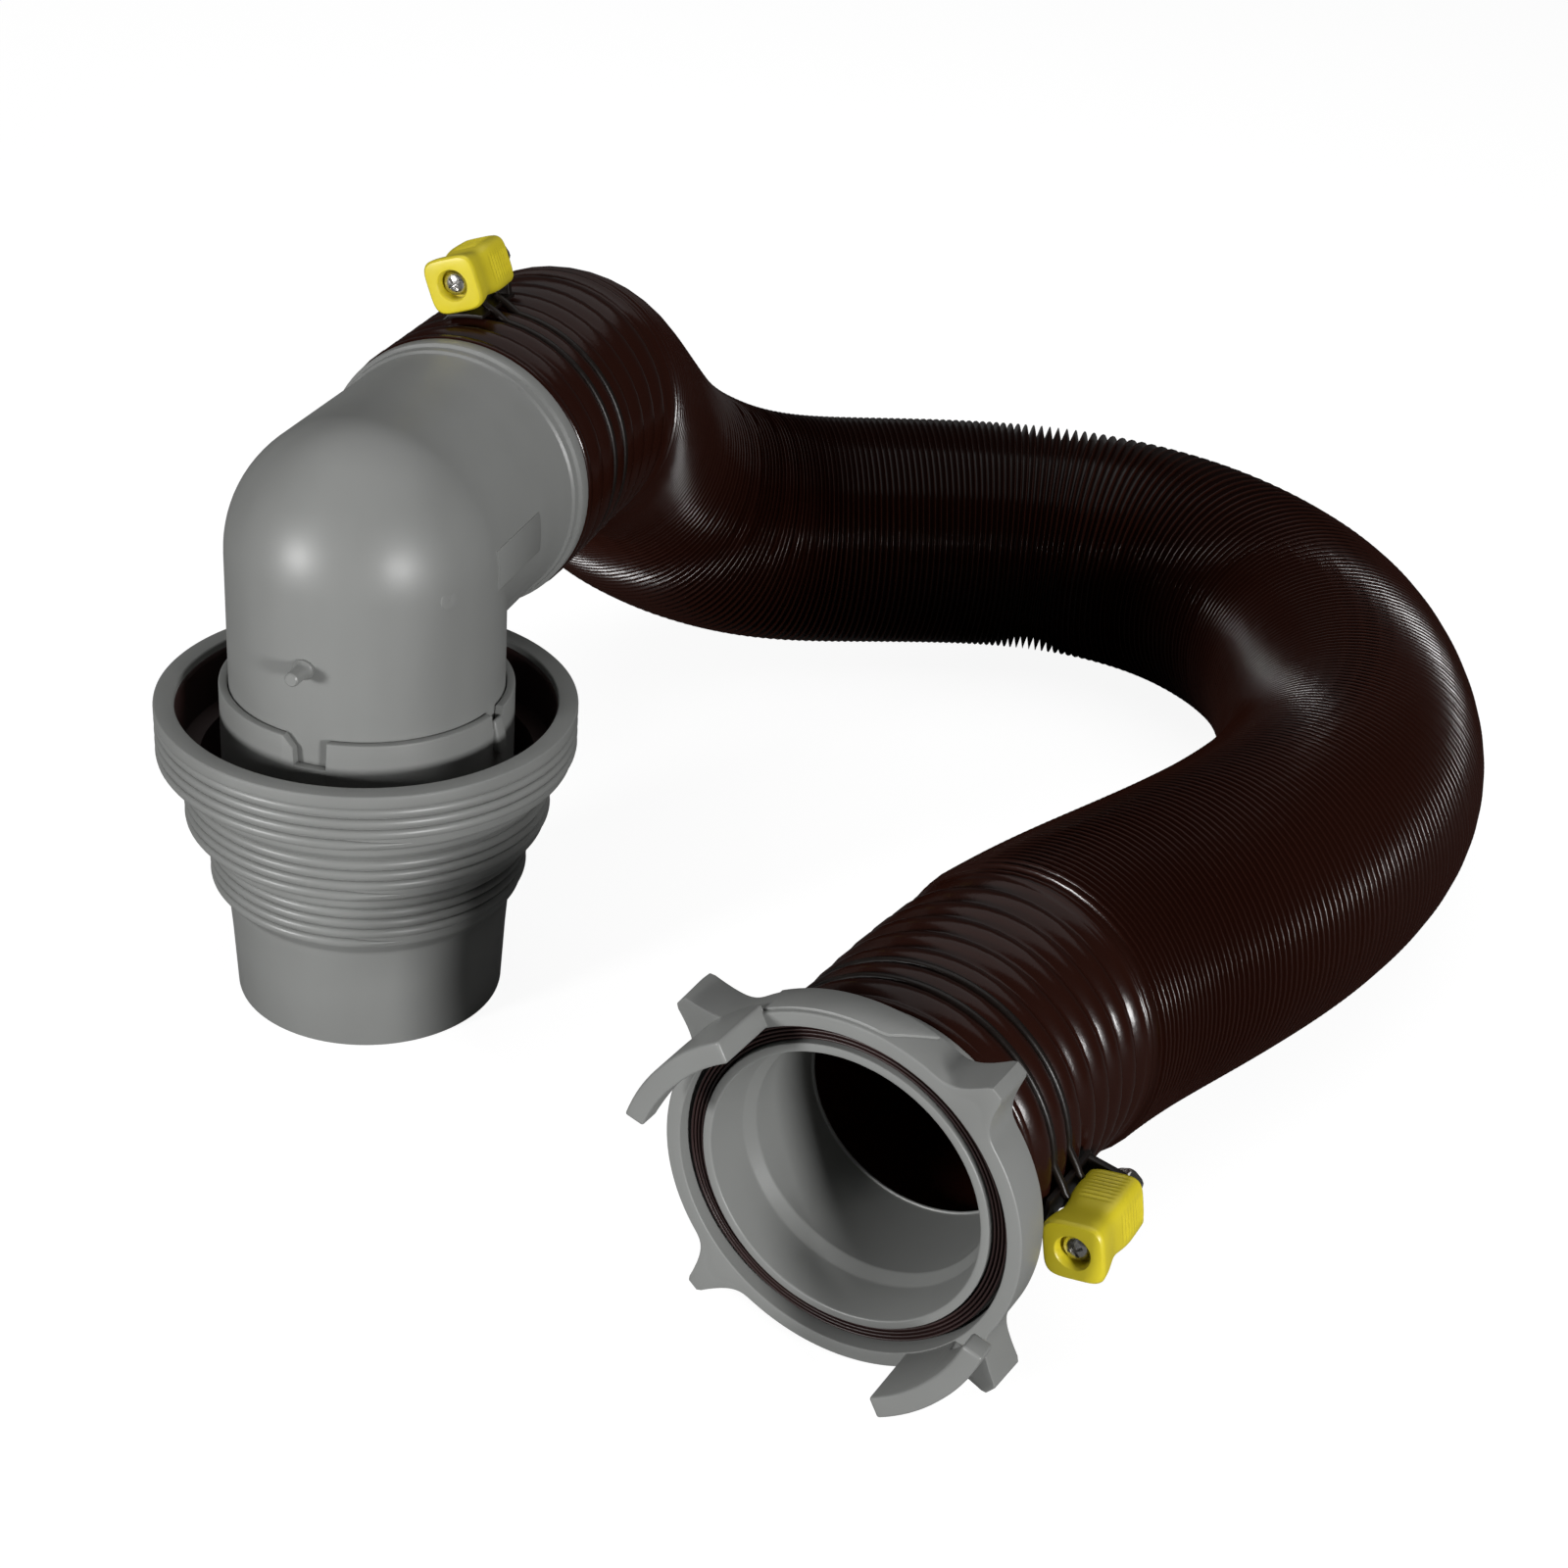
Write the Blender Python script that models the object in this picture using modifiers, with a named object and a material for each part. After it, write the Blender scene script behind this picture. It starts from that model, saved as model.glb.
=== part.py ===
"""Sewer hose kit: a stepped threaded adapter and a swivel elbow on one end of a corrugated hose,
a swivel bayonet fitting on the other end, and a wire clamp with a turning knob at each end."""

import bpy
import bmesh
import numpy as np
from math import cos, pi, radians, sin
from mathutils import Matrix, Vector

GAP = 0.0003
CUT_PAST = 0.010
KIT = "sewer_hose_kit"

# Where the two ends stand. The floor is Z = 0 and the adapter's own axis is vertical.
ADAPTER_AXIS = Vector((-0.0773, 0.0405, 0.0))
ELBOW_OUTLET_HEIGHT = 0.1350
ELBOW_OUTLET_AZIMUTH = radians(75.1)
BAYONET_CENTRE = Vector((0.0594, -0.1060, 0.0481))
BAYONET_AZIMUTH = radians(241.9)

# Adapter: three pipe threads of 4, 3.5 and 3 inch over a plain 3 inch spigot.
ADAPTER_HEIGHT = 0.0917
THREAD_RADII = (0.0579, 0.0508, 0.04445)
THREAD_TOPS = (ADAPTER_HEIGHT, 0.0705, 0.0510)
THREAD_ENDS = (0.0755, 0.0565, 0.0370)
SPIGOT_RADIUS = 0.0378
SPIGOT_BORE = 0.0348
BOWL_RADII = (0.0523, 0.0466, 0.0407)
BOWL_STEPS = (0.0740, 0.0580, 0.0440)

# Elbow: two 3 inch tubes that meet square in a ball-shaped heel, an end collar and a locking peg.
TUBE_RADIUS = 0.0376
TUBE_WALL = 0.0030
ELBOW_FOOT = 0.0475
COLLAR_END = 0.0610
COLLAR_LENGTH = 0.0055
COLLAR_RADIUS = 0.0397
PEG_RADIUS = 0.0019
PEG_REACH = 0.0446
PEG_HEIGHT = 0.1165
PEG_AZIMUTH = radians(-105.0)
HUB_RADIUS = 0.0403
HUB_TOP = 0.0970
HUB_NOTCHES = ((radians(-101.8), 0.0094, 0.0080), (radians(-20.0), 0.0060, 0.0040))

# Hose: 84 mm over its ribs, necked down at each end where it sits on its fitting.
HOSE_RADIUS = 0.0420
CUFF_RADIUS = 0.0378
CUFF_LENGTH = 0.066
CUFF_TAPER = 0.012
HOSE_SPACING = 0.0145
HOSE_EASING = 0.018
EASING_STEP = 0.001
HOSE_ROUTE = (
    (0.0401, 0.1832, 0.1047),
    (0.0573, 0.2231, 0.0680),
    (0.0959, 0.2475, 0.0450),
    (0.1383, 0.2575, 0.0430),
    (0.1771, 0.2642, 0.0428),
    (0.2177, 0.2635, 0.0428),
    (0.2613, 0.2425, 0.0428),
    (0.2935, 0.1930, 0.0428),
    (0.3004, 0.1301, 0.0428),
    (0.2907, 0.0760, 0.0428),
    (0.2659, 0.0319, 0.0430),
    (0.2343, -0.0056, 0.0438),
    (0.1997, -0.0410, 0.0449),
)

# Bayonet fitting: a socket with a flange, a ribbed seal and a turning ring with two hooks and four ears.
RING_RADIUS = 0.0474
RING_BORE = 0.0435
RING_DEPTH = 0.0118
HOOK_REACH = 0.0180
HOOK_TIP = 0.0060
HOOK_RADII = (0.0438, 0.0496)
HOOK_ANGLES = (radians(120.0), radians(166.0))
EAR_RADIUS = 0.0585
EAR_ANGLES = [radians(51.0 + 90.0 * k) for k in range(4)]
FLANGE_RADIUS = 0.0431
SOCKET_RADIUS = 0.0360
SOCKET_LIP = 0.0383
BORE_RADIUS = 0.0322
NECK_RADIUS = 0.0378
NECK_END = -0.0245

# Hose clamp: two turns of wire, a bracket, and a knob with its screw, washer and nut.
KNOB_WIDTH = 0.0150
KNOB_LENGTH = 0.0260
KNOB_OFFSET = 0.0520
WIRE_RADIUS = 0.0011
WIRE_LOOP = 0.0393
WIRE_PITCH = 0.0085
SCREW_RADIUS = 0.0020
SCREW_HEAD = (0.0036, 0.0024)
SCREW_CLEARANCE = 0.0024
LUG_THICKNESS = 0.0022
LUG_HALF_WIDTH = 0.0048
LUG_REACH = 0.0042
FOOT_FRONT = -0.0060
WASHER_RADIUS = 0.0042
NUT_RADIUS = 0.0040
NUT_HEIGHT = 0.0032
CLAMPS = (
    ("elbow", 0.0710, radians(98.0), radians(12.0)),
    ("bayonet", 0.0220, radians(-9.0), radians(20.0)),
)

GREY_PLASTIC = ("grey_plastic", (0.222, 0.227, 0.222), 0.42, 0.0)
BLACK_VINYL = ("black_vinyl", (0.012, 0.006, 0.005), 0.24, 0.0)
BROWN_RUBBER = ("brown_rubber", (0.025, 0.010, 0.010), 0.38, 0.0)
YELLOW_PLASTIC = ("yellow_plastic", (0.68, 0.56, 0.025), 0.40, 0.0)
COATED_WIRE = ("coated_wire", (0.010, 0.009, 0.009), 0.35, 0.0)
BRIGHT_STEEL = ("bright_steel", (0.62, 0.61, 0.59), 0.22, 1.0)


def clear_scene():
    for obj in list(bpy.data.objects):
        bpy.data.objects.remove(obj, do_unlink=True)


def make_collection(name, hidden=False):
    collection = bpy.data.collections.new(name)
    bpy.context.scene.collection.children.link(collection)
    collection.hide_render = hidden
    return collection


def plastic(spec):
    """The Principled material of one finish, made once and shared."""
    name, colour, roughness, metallic = spec
    material = bpy.data.materials.get(name)
    if material is None:
        material = bpy.data.materials.new(name)
        material.use_nodes = True
        shader = material.node_tree.nodes["Principled BSDF"]
        shader.inputs["Base Color"].default_value = (*colour, 1.0)
        shader.inputs["Roughness"].default_value = roughness
        shader.inputs["Metallic"].default_value = metallic
    return material


def add_piece(name, data, finish, frame=None):
    obj = bpy.data.objects.new(name, data)
    parts.objects.link(obj)
    data.materials.clear()
    data.materials.append(plastic(finish))
    obj.parent = frame
    return obj


def add_cutter(name, data, frame=None):
    obj = bpy.data.objects.new(name, data)
    cutters.objects.link(obj)
    obj.hide_render = True
    obj.display_type = "WIRE"
    obj.parent = frame
    return obj


def combine(obj, other, operation):
    modifier = obj.modifiers.new(operation.lower(), "BOOLEAN")
    modifier.operation = operation
    modifier.solver = "EXACT"
    modifier.object = other


def add_frame(name, matrix):
    """An empty that holds a group of pieces, or a moving piece's axis."""
    empty = bpy.data.objects.new(name, None)
    parts.objects.link(empty)
    empty.matrix_world = matrix
    return empty


def axis_frame(origin, forward, upward=Vector((0.0, 0.0, 1.0))):
    """A frame with Z along forward and Y as near to upward as it can be."""
    z_axis = forward.normalized()
    x_axis = upward.cross(z_axis).normalized()
    y_axis = z_axis.cross(x_axis)
    rotation = Matrix((x_axis, y_axis, z_axis)).transposed().to_4x4()
    return Matrix.Translation(origin) @ rotation


def mesh_from(bm, name):
    mesh = bpy.data.meshes.new(name)
    bm.to_mesh(mesh)
    bm.free()
    return mesh


def profile_mesh(name, outline):
    """A closed outline of (radius, height) points as edges in the XZ plane."""
    bm = bmesh.new()
    points = [bm.verts.new((radius, 0.0, height)) for radius, height in outline]
    for first, second in zip(points, points[1:] + points[:1]):
        bm.edges.new((first, second))
    return mesh_from(bm, name)


def open_profile_mesh(name, outline):
    """A profile that starts and ends on the axis, for a solid that is turned without a bore."""
    bm = bmesh.new()
    points = [bm.verts.new((radius, 0.0, height)) for radius, height in outline]
    for first, second in zip(points, points[1:]):
        bm.edges.new((first, second))
    return mesh_from(bm, name)


def turn(obj, steps=64):
    screw = obj.modifiers.new("turned", "SCREW")
    screw.steps = steps
    screw.render_steps = steps
    screw.use_merge_vertices = True
    screw.merge_threshold = 0.00001


def turned(name, outline, finish, frame=None, steps=64):
    """A ring turned round Z. The outline runs down its outer side and up its inner side."""
    obj = add_piece(name, profile_mesh(name, outline), finish, frame)
    turn(obj, steps)
    return obj


def cylinder_mesh(name, radius, low, high, sides=24, at=(0.0, 0.0)):
    bm = bmesh.new()
    place = Matrix.Translation((at[0], at[1], (low + high) / 2))
    bmesh.ops.create_cone(
        bm, cap_ends=True, segments=sides, radius1=radius, radius2=radius, depth=high - low, matrix=place
    )
    return mesh_from(bm, name)


def box_mesh(name, low, high):
    bm = bmesh.new()
    centre = (Vector(low) + Vector(high)) / 2
    size = Vector(high) - Vector(low)
    bmesh.ops.create_cube(bm, size=1.0, matrix=Matrix.Translation(centre) @ Matrix.Diagonal((*size, 1.0)))
    return mesh_from(bm, name)


def sections_mesh(name, sections):
    """A closed solid lofted through four-cornered sections, such as an arc-shaped finger."""
    bm = bmesh.new()
    rows = [[bm.verts.new(corner) for corner in section] for section in sections]
    for row, following in zip(rows, rows[1:]):
        for k in range(4):
            bm.faces.new((row[k], row[(k + 1) % 4], following[(k + 1) % 4], following[k]))
    bm.faces.new(rows[0][::-1])
    bm.faces.new(rows[-1])
    bmesh.ops.recalc_face_normals(bm, faces=bm.faces)
    return mesh_from(bm, name)


def evenly(points, spacing):
    """Points at an even spacing along the given line, and their distances along it."""
    along = np.concatenate([[0.0], np.cumsum(np.linalg.norm(np.diff(points, axis=0), axis=1))])
    stations = np.linspace(0.0, along[-1], int(round(along[-1] / spacing)) + 1)
    return np.stack([np.interp(stations, along, points[:, k]) for k in range(3)], axis=1), stations


def smooth_path(points, spacing):
    """A Catmull-Rom curve near the given points, its bends evened out and its ends kept in place."""
    nodes = np.array([2 * points[0] - points[1], *points, 2 * points[-1] - points[-2]], dtype=float)
    dense = []
    for a, b, c, d in zip(nodes, nodes[1:], nodes[2:], nodes[3:]):
        for t in np.linspace(0.0, 1.0, 40, endpoint=False):
            bend = (2 * a - 5 * b + 4 * c - d) * t * t + (3 * b - a - 3 * c + d) * t ** 3
            dense.append(0.5 * (2 * b + (c - a) * t + bend))
    dense.append(nodes[-2])
    dense, stations = evenly(np.array(dense), EASING_STEP)
    reach = int(round(4 * HOSE_EASING / EASING_STEP))
    weights = np.exp(-0.5 * (np.arange(-reach, reach + 1) * EASING_STEP / HOSE_EASING) ** 2)
    before = 2 * dense[0] - dense[reach:0:-1]
    after = 2 * dense[-1] - dense[-2:-reach - 2:-1]
    padded = np.concatenate([before, dense, after])
    shares = weights / weights.sum()
    eased = [np.convolve(padded[:, k], shares, "valid") for k in range(3)]
    return evenly(np.stack(eased, axis=1), spacing)


def poly_curve(name, points, radius, scales=None, resolution=2):
    curve = bpy.data.curves.new(name, "CURVE")
    curve.dimensions = "3D"
    curve.bevel_depth = radius
    curve.bevel_resolution = resolution
    curve.use_fill_caps = True
    spline = curve.splines.new("POLY")
    spline.points.add(len(points) - 1)
    for k, point in enumerate(points):
        spline.points[k].co = (*point, 1.0)
        spline.points[k].radius = 1.0 if scales is None else scales[k]
    return curve


def polar(radius, angle, height=0.0):
    return Vector((radius * cos(angle), radius * sin(angle), height))


# Adapter

def make_adapter(frame):
    """The stepped shell, its hub tube, and the flat seal on the bowl's floor."""
    top, middle, low = THREAD_RADII
    outline = [
        (BOWL_RADII[0] + 0.0002, ADAPTER_HEIGHT),
        (top - 0.0012, ADAPTER_HEIGHT),
        (top, ADAPTER_HEIGHT - 0.0012),
        (top - 0.0004, THREAD_ENDS[0]),
        (middle + 0.0006, THREAD_ENDS[0] - 0.0012),
        (middle, THREAD_TOPS[1]),
        (middle - 0.0003, THREAD_ENDS[1]),
        (low + 0.0006, THREAD_ENDS[1] - 0.0012),
        (low, THREAD_TOPS[2]),
        (low - 0.0003, THREAD_ENDS[2]),
        (SPIGOT_RADIUS + 0.0014, THREAD_ENDS[2] - 0.0045),
        (SPIGOT_RADIUS, 0.0),
        (SPIGOT_BORE, 0.0),
        (SPIGOT_BORE, BOWL_STEPS[2]),
        (BOWL_RADII[2], BOWL_STEPS[2]),
        (BOWL_RADII[2], BOWL_STEPS[1]),
        (BOWL_RADII[1], BOWL_STEPS[1]),
        (BOWL_RADII[1], BOWL_STEPS[0]),
        (BOWL_RADII[0], BOWL_STEPS[0]),
    ]
    turned("adapter_shell", outline, GREY_PLASTIC, frame, steps=72)

    hub_bore = TUBE_RADIUS + GAP
    outline = [
        (hub_bore, HUB_TOP),
        (HUB_RADIUS, HUB_TOP),
        (HUB_RADIUS, BOWL_STEPS[2] + GAP),
        (hub_bore, BOWL_STEPS[2] + GAP),
    ]
    hub = turned("adapter_hub", outline, GREY_PLASTIC, frame, steps=72)
    for k, (angle, width, depth) in enumerate(HUB_NOTCHES):
        for side in (0.0, pi):
            low_corner = (HUB_RADIUS - CUT_PAST, -width / 2, HUB_TOP - depth)
            high_corner = (HUB_RADIUS + CUT_PAST, width / 2, HUB_TOP + CUT_PAST)
            block = box_mesh("notch", low_corner, high_corner)
            cutter = add_cutter(f"hub_notch_{k}_{int(side)}", block, frame)
            cutter.rotation_euler.z = angle + side
            combine(hub, cutter, "DIFFERENCE")

    floor = BOWL_STEPS[1] + GAP
    outline = [
        (HUB_RADIUS + 0.0008, floor + 0.0024),
        (BOWL_RADII[1] - 0.0004, floor + 0.0024),
        (BOWL_RADII[1] - 0.0004, floor),
        (HUB_RADIUS + 0.0008, floor),
    ]
    turned("adapter_bowl_seal", outline, BROWN_RUBBER, frame, steps=72)


# Elbow

def dome_outline(radius, foot):
    """A round-topped post: the elbow's heel is a ball where its two tubes meet."""
    arc = [pi / 2 * k / 10 for k in range(10, 0, -1)]
    cap = [(radius * cos(angle), ELBOW_OUTLET_HEIGHT + radius * sin(angle)) for angle in arc]
    cap[0] = (0.0, ELBOW_OUTLET_HEIGHT + radius)
    return cap + [(radius, ELBOW_OUTLET_HEIGHT), (radius, foot), (0.0, foot)]


def make_elbow(outlet):
    """Two tubes that meet in a ball-shaped heel, with a collar on the outlet and a locking peg."""
    foot_frame = add_frame("elbow_foot", Matrix.Translation(ADAPTER_AXIS))
    outlet_origin = ADAPTER_AXIS + Vector((0.0, 0.0, ELBOW_OUTLET_HEIGHT))
    outlet_frame = add_frame("elbow_outlet", axis_frame(outlet_origin, outlet))
    post = open_profile_mesh("elbow", dome_outline(TUBE_RADIUS, ELBOW_FOOT))
    elbow = add_piece("elbow_body", post, GREY_PLASTIC, foot_frame)
    turn(elbow, 48)
    arm_outline = [
        (0.0, COLLAR_END),
        (COLLAR_RADIUS, COLLAR_END),
        (COLLAR_RADIUS, COLLAR_END - COLLAR_LENGTH),
        (TUBE_RADIUS, COLLAR_END - COLLAR_LENGTH - 0.0010),
        (TUBE_RADIUS, 0.0),
        (0.0, 0.0),
    ]
    arm = add_cutter("elbow_arm", open_profile_mesh("arm", arm_outline), outlet_frame)
    turn(arm, 48)
    combine(elbow, arm, "UNION")
    bore = TUBE_RADIUS - TUBE_WALL
    bore_outline = dome_outline(bore, ELBOW_FOOT - CUT_PAST)
    upright_bore = add_cutter("elbow_bore", open_profile_mesh("bore", bore_outline), foot_frame)
    turn(upright_bore, 48)
    combine(elbow, upright_bore, "DIFFERENCE")
    outlet_cylinder = cylinder_mesh("bore", bore, 0.0, COLLAR_END + CUT_PAST, 48)
    outlet_bore = add_cutter("outlet_bore", outlet_cylinder, outlet_frame)
    combine(elbow, outlet_bore, "DIFFERENCE")
    peg_root = TUBE_RADIUS - TUBE_WALL / 2
    start = ADAPTER_AXIS + polar(peg_root, PEG_AZIMUTH, PEG_HEIGHT)
    peg_frame = add_frame("peg_frame", axis_frame(start, polar(1.0, PEG_AZIMUTH)))
    peg = add_cutter("elbow_peg", cylinder_mesh("peg", PEG_RADIUS, 0.0, PEG_REACH - peg_root, 12), peg_frame)
    combine(elbow, peg, "UNION")

    seat = BOWL_STEPS[2] + GAP
    outline = [
        (TUBE_RADIUS - TUBE_WALL + 0.0002, ELBOW_FOOT - GAP),
        (TUBE_RADIUS - 0.0002, ELBOW_FOOT - GAP),
        (TUBE_RADIUS - 0.0002, seat),
        (TUBE_RADIUS - TUBE_WALL + 0.0002, seat),
    ]
    turned("elbow_face_seal", outline, BROWN_RUBBER, foot_frame, steps=48)


# Hose

def make_hose(outlet, forward):
    """One tube from the elbow's collar to the bayonet socket's neck."""
    height = Vector((0.0, 0.0, ELBOW_OUTLET_HEIGHT))
    start = [ADAPTER_AXIS + height + outlet * reach for reach in (COLLAR_END + GAP, 0.085, 0.108, 0.131)]
    finish = [BAYONET_CENTRE - forward * reach for reach in (0.080, 0.058, 0.040, -NECK_END + GAP)]
    middle = [ADAPTER_AXIS + Vector(point) for point in HOSE_ROUTE]
    points, stations = smooth_path([np.array(point) for point in start + middle + finish], HOSE_SPACING)
    length = stations[-1]
    scales = []
    for station in stations:
        into_hose = min(station, length - station) - CUFF_LENGTH
        blend = min(max(into_hose / CUFF_TAPER, 0.0), 1.0)
        scales.append(1.0 + (CUFF_RADIUS / HOSE_RADIUS - 1.0) * (1.0 - blend))
    add_piece("hose", poly_curve("hose", points, HOSE_RADIUS, scales, resolution=4), BLACK_VINYL)


# Bayonet fitting

def make_bayonet_body(frame):
    """The moulded socket: a lip, a flange that the ring turns on, and a neck that takes the hose."""
    outline = [
        (SOCKET_RADIUS, -0.0020),
        (SOCKET_LIP, -0.0020),
        (SOCKET_LIP, -0.0065),
        (FLANGE_RADIUS, -0.0065),
        (FLANGE_RADIUS, -0.0095),
        (NECK_RADIUS, -0.0095),
        (NECK_RADIUS, NECK_END),
        (BORE_RADIUS, NECK_END),
        (BORE_RADIUS, -0.0145),
        (SOCKET_RADIUS - 0.0012, -0.0130),
    ]
    turned("bayonet_body", outline, GREY_PLASTIC, frame, steps=72)
    outline = [
        (SOCKET_LIP + GAP, -0.0032),
        (FLANGE_RADIUS - 0.0006, -0.0032),
        (FLANGE_RADIUS - 0.0006, -0.0065 + GAP),
        (SOCKET_LIP + GAP, -0.0065 + GAP),
    ]
    turned("bayonet_seal", outline, BROWN_RUBBER, frame, steps=72)


def hook_sections(start):
    """Sections of one hook: full height at its root, undercut towards its free tip."""
    inner, outer = HOOK_RADII
    sections = []
    for k in range(13):
        share = k / 12
        angle = start + share * (HOOK_ANGLES[1] - HOOK_ANGLES[0])
        rise = min(max((share - 0.36) / 0.64, 0.0), 1.0)
        low = -0.0015 if share < 0.36 else 0.0035 + rise * (HOOK_REACH - HOOK_TIP - 0.0035)
        corners = ((inner, low), (outer, low), (outer, HOOK_REACH), (inner, HOOK_REACH))
        sections.append([polar(radius, angle, height) for radius, height in corners])
    return sections


def ear_mesh(name):
    """A finger ear: a ridge along the ring with hollow flanks."""
    base, tip = RING_RADIUS - 0.0012, EAR_RADIUS
    half_base, half_tip = 0.0105, 0.0019
    side = []
    for k in range(7):
        share = k / 6
        across = half_base + (half_tip - half_base) * (1 - (1 - share) ** 2.4)
        side.append((base + (tip - 0.0015 - base) * share, across))
    outline = side + [(tip, half_tip * 0.45), (tip, -half_tip * 0.45)] + [(r, -w) for r, w in side[::-1]]
    bm = bmesh.new()
    low = [bm.verts.new((r, w, -RING_DEPTH)) for r, w in outline]
    face = bm.faces.new(low)
    raised = bmesh.ops.extrude_face_region(bm, geom=[face])
    lifted = [item for item in raised["geom"] if isinstance(item, bmesh.types.BMVert)]
    bmesh.ops.translate(bm, verts=lifted, vec=(0.0, 0.0, RING_DEPTH))
    bmesh.ops.recalc_face_normals(bm, faces=bm.faces)
    return mesh_from(bm, name)


def make_bayonet_ring(frame):
    """The turning ring with its rear lip behind the flange, two hooks and four ears."""
    outline = [
        (RING_BORE, 0.0),
        (RING_RADIUS, 0.0),
        (RING_RADIUS, -RING_DEPTH),
        (NECK_RADIUS + 0.0007, -RING_DEPTH),
        (NECK_RADIUS + 0.0007, -0.0095 - GAP),
        (RING_BORE, -0.0095 - GAP),
    ]
    ring = turned("bayonet_ring", outline, GREY_PLASTIC, frame, steps=72)
    for k, angle in enumerate(EAR_ANGLES):
        ear = add_cutter(f"ring_ear_{k}", ear_mesh("ear"), frame)
        ear.rotation_euler.z = angle
        combine(ring, ear, "UNION")
    for k in range(2):
        start = HOOK_ANGLES[0] + pi * k
        hook = add_cutter(f"ring_hook_{k}", sections_mesh("hook", hook_sections(start)), frame)
        combine(ring, hook, "UNION")


# Hose clamps

def clamp_wire_path():
    """Two turns of wire that start and end under the bracket."""
    first = -0.0085
    open_angle = radians(9.0)
    sweep = 4 * pi - 2 * open_angle
    points = []
    for k in range(57):
        share = k / 56
        angle = open_angle + share * sweep
        points.append(polar(WIRE_LOOP, angle, first - WIRE_PITCH * angle / (2 * pi)))
    return points


def make_clamp(name, frame, twist):
    """The knob's axis is along the frame's Z, at KNOB_OFFSET on its X. Its front end is at Z = 0."""
    wire = poly_curve(f"{name}_clamp_wire", clamp_wire_path(), WIRE_RADIUS, resolution=1)
    add_piece(f"{name}_clamp_wire", wire, COATED_WIRE, frame)

    lug_front = -KNOB_LENGTH - 0.0016
    foot_back = lug_front - LUG_THICKNESS
    foot = box_mesh("foot", (0.0409, -LUG_HALF_WIDTH, foot_back), (0.0421, LUG_HALF_WIDTH, FOOT_FRONT))
    bracket = add_piece(f"{name}_clamp_bracket", foot, COATED_WIRE, frame)
    lug_low = (0.0412, -LUG_HALF_WIDTH, foot_back)
    lug_high = (KNOB_OFFSET + LUG_REACH, LUG_HALF_WIDTH, lug_front)
    lug = add_cutter(f"{name}_clamp_lug", box_mesh("lug", lug_low, lug_high), frame)
    combine(bracket, lug, "UNION")
    at = (KNOB_OFFSET, 0.0)
    hole = cylinder_mesh("lug_hole", SCREW_CLEARANCE, lug_front - 0.01, lug_front + 0.005, 16, at)
    combine(bracket, add_cutter(f"{name}_lug_hole", hole, frame), "DIFFERENCE")

    washer_face = lug_front + GAP
    outline = [
        (SCREW_CLEARANCE, washer_face + 0.0009),
        (WASHER_RADIUS, washer_face + 0.0009),
        (WASHER_RADIUS, washer_face),
        (SCREW_CLEARANCE, washer_face),
    ]
    washer = turned(f"{name}_clamp_washer", outline, BRIGHT_STEEL, frame, steps=16)
    washer.location.x = KNOB_OFFSET

    nut_face = lug_front - LUG_THICKNESS - GAP
    nut_mesh = cylinder_mesh("nut", NUT_RADIUS, nut_face - NUT_HEIGHT, nut_face, 6, at)
    nut = add_piece(f"{name}_clamp_nut", nut_mesh, BRIGHT_STEEL, frame)
    bore = cylinder_mesh("nut_bore", SCREW_CLEARANCE, nut_face - 0.01, nut_face + 0.005, 16, at)
    combine(nut, add_cutter(f"{name}_nut_bore", bore, frame), "DIFFERENCE")

    pivot = add_frame(f"{name}_knob_axis", Matrix.Identity(4))
    pivot.parent = frame
    pivot.location = (KNOB_OFFSET, 0.0, 0.0)
    pivot.rotation_euler.z = twist
    half = KNOB_WIDTH / 2
    knob_box = box_mesh("knob", (-half, -half, -KNOB_LENGTH), (half, half, 0.0))
    knob = add_piece(f"{name}_clamp_knob", knob_box, YELLOW_PLASTIC, pivot)
    rounding = knob.modifiers.new("rounding", "BEVEL")
    rounding.width = 0.0022
    rounding.segments = 3
    head_radius, head_height = SCREW_HEAD
    recess = head_height + 0.0016
    bore = cylinder_mesh("knob_bore", SCREW_CLEARANCE, -KNOB_LENGTH - 0.005, 0.005, 16)
    combine(knob, add_cutter(f"{name}_knob_bore", bore, pivot), "DIFFERENCE")
    pocket = cylinder_mesh("knob_pocket", head_radius + 0.0008, -recess, 0.005, 24)
    combine(knob, add_cutter(f"{name}_knob_pocket", pocket, pivot), "DIFFERENCE")
    under_head = -recess + GAP
    shank_end = nut_face - 0.0042
    outline = [
        (0.0, under_head + head_height),
        (head_radius * 0.7, under_head + head_height),
        (head_radius, under_head + head_height * 0.45),
        (head_radius, under_head),
        (SCREW_RADIUS, under_head),
        (SCREW_RADIUS, shank_end),
        (0.0, shank_end),
    ]
    screw_mesh = open_profile_mesh("screw", outline)
    screw = add_piece(f"{name}_clamp_screw", screw_mesh, BRIGHT_STEEL, pivot)
    turn(screw, 16)


clear_scene()
parts = make_collection(KIT)
cutters = make_collection("cutters", hidden=True)

outlet_direction = polar(1.0, ELBOW_OUTLET_AZIMUTH)
bayonet_forward = polar(1.0, BAYONET_AZIMUTH)
adapter_frame = add_frame("adapter_axis", Matrix.Translation(ADAPTER_AXIS))
ring_frame = add_frame("bayonet_axis", axis_frame(BAYONET_CENTRE, bayonet_forward))

make_adapter(adapter_frame)
make_elbow(outlet_direction)
make_hose(outlet_direction, bayonet_forward)
make_bayonet_body(ring_frame)
make_bayonet_ring(ring_frame)

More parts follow.
